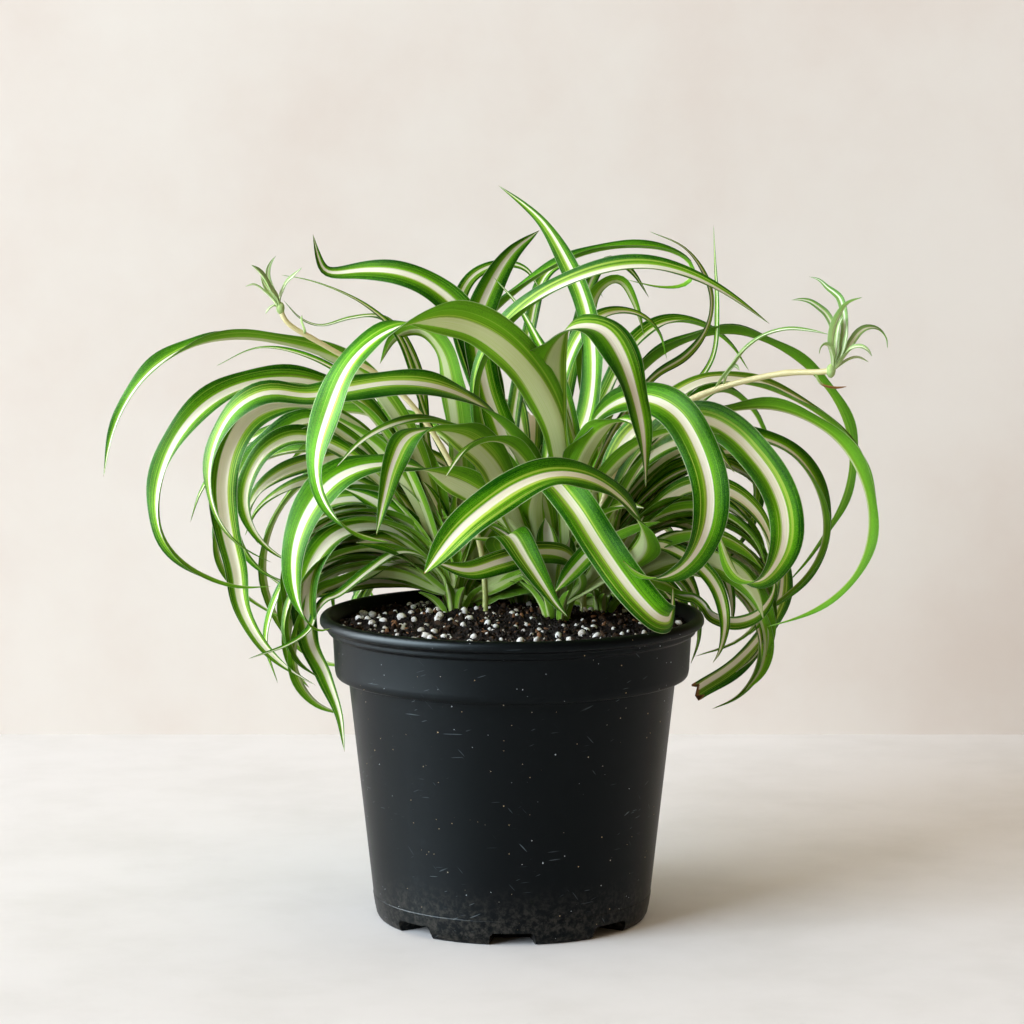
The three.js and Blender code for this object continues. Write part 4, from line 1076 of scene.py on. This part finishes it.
def blade_faces(rings, pointed):
    """The faces of a blade that ends in a point or is cut off flat, and which of them lie below."""
    sides = [0.0] * (len(section) - 1) + [1.0] * (len(section) - 1)
    faces = tube_faces(rings, len(sides))
    under = sides * (rings - 1) + [0.0]
    end = list(range((rings - 1) * len(sides), rings * len(sides)))
    if not pointed:
        return [*faces, end], [*under, 0.0]
    point = rings * len(sides)
    faces += [(a, b, point) for a, b in zip(end, end[1:] + end[:1])]
    return faces, under + sides


def grow_blade(mass, each, crown):
    """Adds a leaf to the mass: a thin folded blade, closed at the root, with its two faces meeting at
    the margins and at the tip."""
    line, length = leaf_line(each, crown)
    ahead, upper = blade_frames(line, crown, each.in_view)
    turn = -1 if np.cross(ahead, upper)[:, 1].sum() > 0 else 1
    if length < short_blade or each.coarse:
        line, ahead, upper = line[::2], ahead[::2], upper[::2]
    rings = blade_rings(each, line, length, ahead, upper, turn)
    pointed = each.whole == 1
    count = len(rings) - 1 if pointed else len(rings)
    vertices = rings[:count].reshape(-1, 3)
    place = np.tile(section_round, count)
    s = np.repeat(np.linspace(0, 1, len(rings))[:count], len(section_round))
    if pointed:
        vertices = np.vstack([vertices, line[-1]])
        place = np.append(place, 0)
        s = np.append(s, 1)
    faces, under = blade_faces(count, pointed)

    off_centre, stripe_width, seed = growth.uniform((-0.12, each.stripe[0], 0), (0.12, each.stripe[1], 1))
    skew, tone = growth.uniform((-0.1, 0.85), (0.1, 1.2))
    wide = stripe_width * (1 + 1.3 * (1 - smoothstep(s, 0.1, 0.5))) + 0.12 * each.pale
    distance = s * length
    mass.add(
        vertices,
        faces,
        under,
        grain=np.stack([place, distance / 10, np.full(len(place), 40 * seed)], axis=1),
        stripe=np.abs(place - off_centre) - wide,
        band=np.abs(place - off_centre - skew) - wide,
        stripe_below=np.abs(place - off_centre + below_shift * turn) - wide - below_wider,
        across=np.abs(place),
        pale=np.maximum(1 - smoothstep(distance, 4, 48), each.pale),
        brown=1 - smoothstep(length - distance, 0.4 * each.brown, 1.3 * each.brown + 0.01),
        tone=tone,
    )


def fraction(index, step):
    """The part after the point of index steps, which spreads evenly between 0 and 1."""
    return (index * step) % 1


def fill_leaves(crown, count, ways, length, rise, curl, width, fan=False):
    """Leaves that only fill a crown: each one rises, arches over and curls. They are spread evenly by a
    rule, round the crown or, in a fan, from the lowest to the steepest."""
    leaves = []
    for i in range(1, count + 1):
        evenly_placed, first, second = (i - 0.5) / count, fraction(i, 0.7549), fraction(i, 0.5698)
        azimuth = math.radians(lerp(*ways, first if fan else evenly_placed))
        total = lerp(*length, first)
        climb_at_root = math.radians(lerp(*rise, evenly_placed if fan else second))
        turn = math.radians(lerp(*curl, first))
        swing = math.radians(30) * (second - 0.5)
        point = crown.root.copy()
        path = []
        pieces = 10
        for k in range(pieces):
            s = (k + 0.5) / pieces
            climb = climb_at_root - turn * s**1.4
            way = azimuth + swing * s
            flat = math.cos(climb)
            ahead = np.array([flat * math.cos(way), flat * math.sin(way), math.sin(climb)])
            point += total / pieces * ahead
            path.append(as_listed(point))
        wide = lerp(*width, fraction(i, 0.3247))
        roll = (0, 40 * (first - 0.5), 50 * (second - 0.5))
        leaves.append(leaf(f"filler {i}", wide, path, roll, fold=30, coarse=True, stripe=(0.28, 0.44)))
    return leaves


def grown_value(tree, name, output="Fac"):
    """A value that the growth has written on the mesh."""
    return Wire.node(tree, "Attribute", {"attribute_name": name}, None, output)


def blade_finish(name, dark, light, warm, yellow, cream, root, dull, gloss):
    """A striped blade: green with fine lines along it, a cream stripe down its middle between
    yellow-green bands, a painted highlight of a thin pale line along the margins where light
    catches the edges, a pale root, and a dull underside with a wide stripe."""
    fixed = {"Specular IOR Level": 0.09, "Specular Tint": (0.85, 1, 0.7, 1)}
    material, tree, shader = new_finish(name, fixed)
    grain = grown_value(tree, "grain", "Vector")
    stripe, band, stripe_below = (grown_value(tree, n) for n in ("stripe", "band", "stripe_below"))
    across, pale, brown = (grown_value(tree, n) for n in ("across", "pale", "brown"))
    tone, under = (grown_value(tree, n) for n in ("tone", "under"))
    stripe = stripe + under * (stripe_below - stripe)
    band = band + under * (stripe_below - band)
    streaks = (grain * (11, 0.05, 1)).noise(1, 2, 0.5)
    lines = (grain * (38, 0.2, 1)).noise(1, 2, 0.6)
    blotches = (grain * (1.5, 0.5, 1)).noise(1, 3, 0.6)
    flecks = own_place(tree).noise(2.6, 2, 0.7)
    in_stripe = (stripe + 0.16 * (streaks - 0.5) + 0.1 * (lines - 0.5)).smooth(0.04, -0.04)
    in_band = (band + 0.7 * (streaks - 0.5) + 0.2 * (lines - 0.5)).smooth(0.07, 0.01)
    near_band = (band + 0.3 * (streaks - 0.5)).smooth(0.5, 0)
    thin_line = streaks.smooth(0.58, 0.61) * band.smooth(0.6, 0.3)
    dark_line = streaks.smooth(0.42, 0.38) * band.smooth(0.45, 0.15)
    veined = 0.8 * (lines - 0.5) + 0.4 * (streaks - 0.5)
    paler = 0.3 * across.smooth(0.95, 0.2) + 0.5 * blotches + veined + 0.8 * (flecks - 0.5)
    green = (paler + 0.06 + 0.2 * under).smooth(0.15, 0.9).between(colour(dark), colour(light))
    green = (near_band * 0.5).between(green, colour(warm))
    blade = (in_band * 0.75).between(green, colour(yellow))
    blade = (thin_line * 0.55).between(blade, colour(yellow))
    blade = (dark_line * 0.6).between(blade, colour(dark))
    whitish = (lines.smooth(0.4, 0.7) * 0.25 + 0.3 * under).between(colour(cream), colour(yellow))
    blade = in_stripe.between(blade, whitish)
    blade = (pale * 0.45).between(blade, colour(root))
    # Painted highlight: a thin pale line along both margins, where light catches the leaf's edges.
    rim = across.smooth(0.955, 0.99) * 0.6
    blade = rim.between(blade, colour("c9d3a2"))
    blade = (under * 0.25).between(blade, colour(dull))
    scorch = (brown + 0.6 * (streaks - 0.5)).smooth(0.45, 0.75)
    blade = scorch.between(blade, lines.between(colour("6b3d1e"), colour("a97b4a")))
    shaded = Wire.node(tree, "HueSaturation", None, {"Value": tone, "Color": blade})
    feed(
        shader,
        Base_Color=shaded,
        Roughness=gloss + 0.1 * lines + 0.14 * flecks + 0.16 * under + 0.2 * scorch,
        Normal=bumped(0.4 * lines + 0.3 * streaks + 0.6 * flecks, 0.2),
    )
    return material


striped_leaf = blade_finish(
    "striped_leaf",
    dark="063e00",
    light="60aa10",
    warm="78a816",
    yellow="bccc52",
    cream="ece4ce",
    root="7c9a34",
    dull="86b634",
    gloss=0.3,
)


sheath_count = 8


def grow_sheath(mass, crown, angle, height, width):
    """Adds a short pale sheath that clasps the crown's foot."""
    out = np.array([math.cos(angle), math.sin(angle), 0])
    foot = crown.root + 5 * out - (0, 0, 8)
    steps = (0.25, 0.5, 0.75, 1)
    path = [as_listed(foot + (3 + 9 * s**2) * s * out + (0, 0, height * s)) for s in steps]
    grow_blade(mass, leaf("sheath", width, path, roll=(0,), fold=40, pale=0.6), sprout(foot))


def grow_core(mass, crown, radius):
    """Adds the short pale stem that a crown's leaves stand on, its colour darkened to under half as painted
    shade at the crown's foot.
    """
    profile = [(0, -14), (radius, -14), (radius, -6), (radius * 0.8, -3), (radius * 0.4, 0), (0, 1)]
    vertices, faces = turned(profile, sides=20)
    # The tone of 0.45 darkens the stem: painted shade for the shadow at the crown's foot among the leaves.
    mass.add_plain(vertices + crown.root, faces, vertices / 10, stripe=1, pale=1, tone=0.45)


def make_crown(name, foot, layer, listed, fillers):
    """A crown: its core, its listed leaves, those that fill it, and the sheaths round its foot."""
    crown = sprout((*foot, crown_root_height), reach=4.5, rise=9, layer=layer, in_pot=True)
    mass = Growth()
    grow_core(mass, crown, radius=5)
    for rule in fillers:
        listed = listed + fill_leaves(crown, **rule)
    for each in listed:
        grow_blade(mass, each, crown)
    for k in range(sheath_count):
        angle = 2 * math.pi * (k / sheath_count + 0.1 * growth.random())
        grow_sheath(mass, crown, angle, height=growth.uniform(12, 26), width=6)
    fit_on(mass.piece(name + "_leaves", striped_leaf), name)


side_fan = {"length": (95, 145), "rise": (34, 88), "curl": (120, 230), "width": (12, 17), "fan": True}
back_fan = {"length": (90, 150), "rise": (30, 80), "curl": (110, 200), "width": (12, 17), "fan": True}
short = {"length": (50, 100), "rise": (60, 86), "curl": (20, 90), "width": (11, 15)}
low = {"length": (45, 85), "rise": (12, 46), "curl": (10, 50), "width": (12, 15)}

make_crown("crown_front", (20, 6), front_layer, front_leaves, [
    dict(count=4, ways=(200, 340), length=(140, 190), rise=(78, 88), curl=(90, 140), width=(10, 14)),
    dict(count=6, ways=(190, 350), length=(50, 90), rise=(62, 84), curl=(40, 100), width=(11, 14)),
])
make_crown("crown_left", (-26, 34), side_layer, left_leaves, [
    dict(count=12, ways=(168, 200), **side_fan),
    dict(count=10, ways=(0, 340), **short),
    dict(count=4, ways=(-20, 40), **low),
])
make_crown("crown_right", (40, 34), side_layer, right_leaves, [
    dict(count=13, ways=(-20, 12), **side_fan),
    dict(count=10, ways=(-160, 180), **short),
    dict(count=4, ways=(150, 210), **low),
])
make_crown("crown_back", (5, 56), back_layer, back_leaves, [
    dict(count=13, ways=(12, 168), length=(190, 280), rise=(58, 82), curl=(130, 290), width=(12, 16)),
    dict(count=10, ways=(0, 180), length=(90, 150), rise=(50, 86), curl=(40, 120), width=(12, 16)),
    dict(count=7, ways=(150, 190), **back_fan),
    dict(count=7, ways=(-10, 30), **back_fan),
    dict(count=6, ways=(160, 200), **low),
    dict(count=6, ways=(-20, 20), **low),
])


# The runners: pale wiry stems that arch out of the mix, each with a bract or two, and a young
# plant at its tip. Stem and bracts grew as one piece, and so did each young plant.
stub_below = 22
runner_depth = 21


def runner_finish():
    """Cream-yellow skin, a little green toward the mix, with fine lengthwise lines."""
    material, tree, shader = new_finish("runner_stem", {"Specular IOR Level": 0.4})
    grain = grown_value(tree, "grain", "Vector")
    pale, brown = grown_value(tree, "pale"), grown_value(tree, "brown")
    lines = (grain * (9, 0.5, 1)).noise(1, 3, 0.6)
    spots = (grain * (2, 1.5, 1)).noise(1.5, 4, 0.7)
    skin = pale.between(colour("8d9c45"), colour("e6d9a0"))
    skin = (lines * 0.35).between(skin, colour("c9bb72"))
    skin = (spots.smooth(0.6, 0.75) * 0.5).between(skin, colour("b3955a"))
    skin = brown.between(skin, colour("7a5230"))
    feed(shader, Base_Color=skin, Roughness=0.42 + 0.15 * lines, Normal=bumped(lines, 0.1))
    return material


runner_stem = runner_finish()
young_leaf = blade_finish(
    "plantlet_leaf",
    dark="2f7d12",
    light="5fa326",
    warm="86b436",
    yellow="a9cc4a",
    cream="f2f4e2",
    root="dfe3b4",
    dull="a3c765",
    gloss=0.38,
)


def runner_place(place):
    """The real place of a point on a runner, which hangs between the front and side crowns."""
    across, height = place
    return real_place((across, runner_depth - layer_spread(across), height))


def grow_stem(mass, places, radius):
    """Adds a round stem along the places, a little swollen at its joints and closed at both ends."""
    line, length = evenly(curve_through(places), 140)
    ahead = np.gradient(line, axis=0)
    ahead /= np.linalg.norm(ahead, axis=1)[:, None]
    side = np.cross(ahead, (0, 1, 0))
    side /= np.linalg.norm(side, axis=1)[:, None]
    other = np.cross(ahead, side)
    s = np.linspace(0, 1, len(line))
    swell = 1 + 0.12 * np.exp(-(((s * 5) % 1 - 0.5) ** 2) / 0.004)
    reach = radius * swell * lerp(1.1, 0.92, s)
    around = 14
    angles = (np.arange(around) * 2 * math.pi / around)[None, :, None]
    outward = np.cos(angles) * side[:, None] + np.sin(angles) * other[:, None]
    vertices = (line[:, None] + reach[:, None, None] * outward).reshape(-1, 3)
    last = (len(line) - 1) * around
    faces = [*tube_faces(len(line), around), list(range(last, last + around))]
    along = np.repeat(s, around)
    round_axis = np.tile(np.cos(angles).ravel(), len(line))
    grain = np.stack([round_axis, along * length / 10, np.zeros(len(vertices))], axis=1)
    mass.add_plain(vertices, faces, grain, stripe=1, pale=smoothstep(along, 0.1, 0.45))


def grow_small(mass, root, name, width, path, brown=0):
    """Adds a small blade that grows from a runner or a young plant."""
    blade = leaf(name, width, path, roll=(30,), fold=26, brown=brown, pale=0.25)
    grow_blade(mass, blade, sprout(root))


def make_runner(side, x, radius, route, bracts, plantlet):
    """A runner: its stem along the route, its bracts, and the bud and leaves of its young plant."""
    foot = soil_top(x, runner_depth)
    straight = [(x, runner_depth, foot + rise) for rise in (-stub_below, 2, 8)]
    places = [np.array(place, float) for place in straight] + [runner_place(place) for place in route]
    stem, blades, young = Growth(), Growth(), Growth()
    grow_stem(stem, places, radius)
    fit_on(stem.piece(f"runner_{side}_stem", runner_stem), f"runner_{side}")
    for origin, name, width, path, brown in bracts:
        grow_small(blades, runner_place(origin), name, width, path, brown)
    fit_on(blades.piece(f"runner_{side}_bracts", young_leaf))
    tip = places[-1]
    bud, faces = pebble(detail=2)
    reach = radius + 0.7
    bud = bud * (reach, reach, reach * 1.5) + tip
    young.add_plain(bud, faces, bud / 10, stripe=0.1, pale=0.9)
    for name, width, path in plantlet:
        grow_small(young, tip, name, width, path)
    fit_on(young.piece(f"plantlet_{side}_leaves", young_leaf), f"plantlet_{side}")


make_runner(
    "right",
    x=32,
    radius=1.4,
    route=[
        (35, 165), (44, 195), (58, 216), (76, 229), (90, 235), (100, 238), (120, 242), (135, 242.5),
        (140, 243),
    ],
    bracts=[
        ((88, 234), "side shoot", 4.5, [
            (92, 239, 1), (97, 245, -1), (102, 252, -4), (110, 258, -7), (120, 261, -10), (130, 260.5, -13),
            (139, 259, -16),
        ], 0),
        ((92, 236), "bract", 3, [(95, 242, 0), (98, 245, -2), (100, 243, -4)], 0),
        ((132, 242.5), "brown bract", 3, [(136, 237.5, -16), (141, 236, -18), (147, 236, -20)], 14),
    ],
    plantlet=[
        ("upright sheath", 4, [
            (141, 250, -17), (140.3, 256, -18), (141, 262, -19), (143.5, 268, -20), (147, 272.5, -20),
            (153.4, 275.3, -21),
        ]),
        ("closed bud", 5, [(145, 250, -17), (146.6, 256, -18), (147.2, 261, -18), (147, 265, -17)]),
        ("pale inner", 4.5, [
            (142.5, 250, -15.5), (142.6, 257, -15), (143.5, 263, -14.5), (145.2, 267, -14),
        ]),
        ("upper left", 4, [
            (144.5, 252, -14), (146, 260, -13), (145.5, 269, -12), (143.7, 275, -10), (141, 277.7, -9),
            (138.3, 279.6, -8), (134.5, 283, -7), (130, 284.3, -6),
        ]),
        ("long left", 3.6, [
            (141, 252, -14), (140.6, 262, -13), (137.6, 268, -13), (134.3, 271, -14), (130.3, 273.6, -15),
            (126.2, 274.4, -16), (122.2, 274, -17),
        ]),
        ("far right", 4.4, [
            (145, 248, -14), (149.5, 256, -12), (152.4, 259.8, -10), (155.4, 261.5, -8), (158.8, 261.6, -6),
            (161.8, 260.3, -4), (164, 257.2, -3), (164.7, 252.8, -2),
        ]),
        ("low right", 4, [
            (144.5, 247, -18), (146.8, 250.5, -20), (149.4, 252.8, -22), (152.7, 253.4, -24),
            (155.8, 252, -26), (158, 249.3, -27),
        ]),
        ("low left", 2.8, [
            (140.6, 250, -17), (139.4, 254, -19), (137, 254.6, -20), (135.3, 252.8, -21),
            (134.8, 250.4, -21),
        ]),
        ("level right", 2.2, [(147.7, 247.8, -16), (151.7, 248.8, -15), (156.4, 247, -14)]),
        ("behind", 3.2, [(143, 252, -11), (142, 260, -5), (140, 265, 1), (138.5, 267, 7)]),
    ],
)
make_runner(
    "left",
    x=-12,
    radius=1.2,
    route=[
        (-14, 165), (-26, 200), (-44, 228), (-60, 242), (-75, 250), (-88, 257.5), (-95, 261.5),
        (-98.8, 264.6), (-100.6, 267.8), (-101.4, 270.5),
    ],
    bracts=[((-90, 258.6), "bract", 2.5, [(-91.5, 262, -1), (-92.5, 265, -2), (-92, 267.5, -3)], 0)],
    plantlet=[
        ("right", 2.6, [
            (-101.4, 274.5, -1), (-100.2, 278.1, -2), (-98.2, 282, -3), (-95.5, 284.6, -4),
            (-91.8, 288.2, -5),
        ]),
        ("broad left", 5.7, [
            (-103.9, 275, -3), (-106.2, 279.2, -4), (-108.9, 284, -5), (-111.3, 287, -6), (-114, 289.4, -7),
        ]),
        ("upright", 2.6, [
            (-103.4, 275.5, 0), (-105.4, 279.5, 2), (-106.8, 284, 4), (-106.6, 287.7, 5),
            (-105.2, 290.8, 5), (-103.2, 293.3, 5),
        ]),
        ("small left", 2, [(-105, 274.5, -4), (-108.5, 278, -5), (-112.6, 280.7, -6), (-116.7, 280, -8)]),
        ("pale sheath", 4, [(-103.5, 274, 1), (-106, 277.5, 1), (-108.5, 281, 1), (-110, 284.5, 1)]),
        ("under", 2, [(-104, 271.5, -3), (-106, 270.5, -5), (-108, 268, -7)]),
    ],
)


# The stage: a pale floor, a pale wall close behind it that only shows from its front, soft daylight
# from two windows on the left, a warm ceiling, and a sheen that only shines in the leaves and pot.
wall_distance = 0.43
wall_height = 3000
stage_reach = 4000
key_target = Vector((0, 0, 0.16))


def plain_finish(name, pale, dark, scale):
    """A dull coat with faint stains, its node tree and its shader."""
    material, tree, shader = new_finish(name, {"Roughness": 0.85, "Specular IOR Level": 0})
    place = own_place(tree)
    stains = place.noise(scale, 5, 0.6).smooth(0.35, 0.75)
    feed(shader, Base_Color=stains.between(colour(pale), colour(dark)))
    return material, tree, shader


floor_corners = [(stage_reach * a, stage_reach * b, 0) for a, b in ((-1, -1), (1, -1), (1, 1), (-1, 1))]
floor_paint = plain_finish("floor", pale="ece8e4", dark="e4e0db", scale=0.012)[0]
ground = new_piece("floor", floor_corners, [(0, 1, 2, 3)], floor_paint)

wall_corners = [(stage_reach * a, 0, wall_height * b) for a, b in ((-1, 0), (1, 0), (1, 1), (-1, 1))]
plaster, plaster_tree, plaster_shader = plain_finish("wall", pale="e0d7cc", dark="dacdc1", scale=0.006)
behind = Wire.node(plaster_tree, "NewGeometry", None, None, "Backfacing")
unseen = Wire.node(plaster_tree, "BsdfTransparent")
front = Wire(plaster_tree, plaster_shader.outputs[0])
shown = Wire.node(plaster_tree, "MixShader", None, {0: behind, 1: front, 2: unseen})
plaster_tree.links.new(shown.socket, plaster_tree.nodes["Material Output"].inputs["Surface"])
backdrop = new_piece("backdrop", wall_corners, [(0, 1, 2, 3)], plaster)
backdrop.location.y = wall_distance
backdrop.visible_glossy = False


def soft_light(name, place, size, power, tint, lighting=True, mirrored=True):
    """A square lamp at a place, turned to the plant. It lights surfaces, or shows in them, or both."""
    lamp = bpy.data.lights.new(name, "AREA")
    lamp.shape = "SQUARE"
    lamp.size = size
    lamp.energy = power
    lamp.color = tint
    light = bpy.data.objects.new(name, lamp)
    light.visible_diffuse = lighting
    light.visible_glossy = mirrored
    light.location = place
    light.rotation_euler = (key_target - Vector(place)).to_track_quat("-Z", "Y").to_euler()
    bpy.context.scene.collection.objects.link(light)


soft_light("window", (-5.7, -4.05, 2.92), size=4.5, power=810, tint=(0.74, 0.86, 1))
soft_light("side window", (-3.9, -0.52, 1.05), size=1.8, power=78, tint=(0.8, 0.9, 1))
soft_light("ceiling", (0.2, -0.9, 2.6), size=2.6, power=15, tint=(1, 0.82, 0.6), mirrored=False)
soft_light("sheen", (-1.45, -0.25, 0.35), size=2, power=400, tint=(0.88, 0.95, 1), lighting=False)

world = bpy.data.worlds.new("room")
world.use_nodes = True
world.node_tree.nodes["Background"].inputs["Color"].default_value = colour("ffdfb4")
world.node_tree.nodes["Background"].inputs["Strength"].default_value = 0.17
bpy.context.scene.world = world
bpy.context.scene.view_settings.view_transform = "Standard"
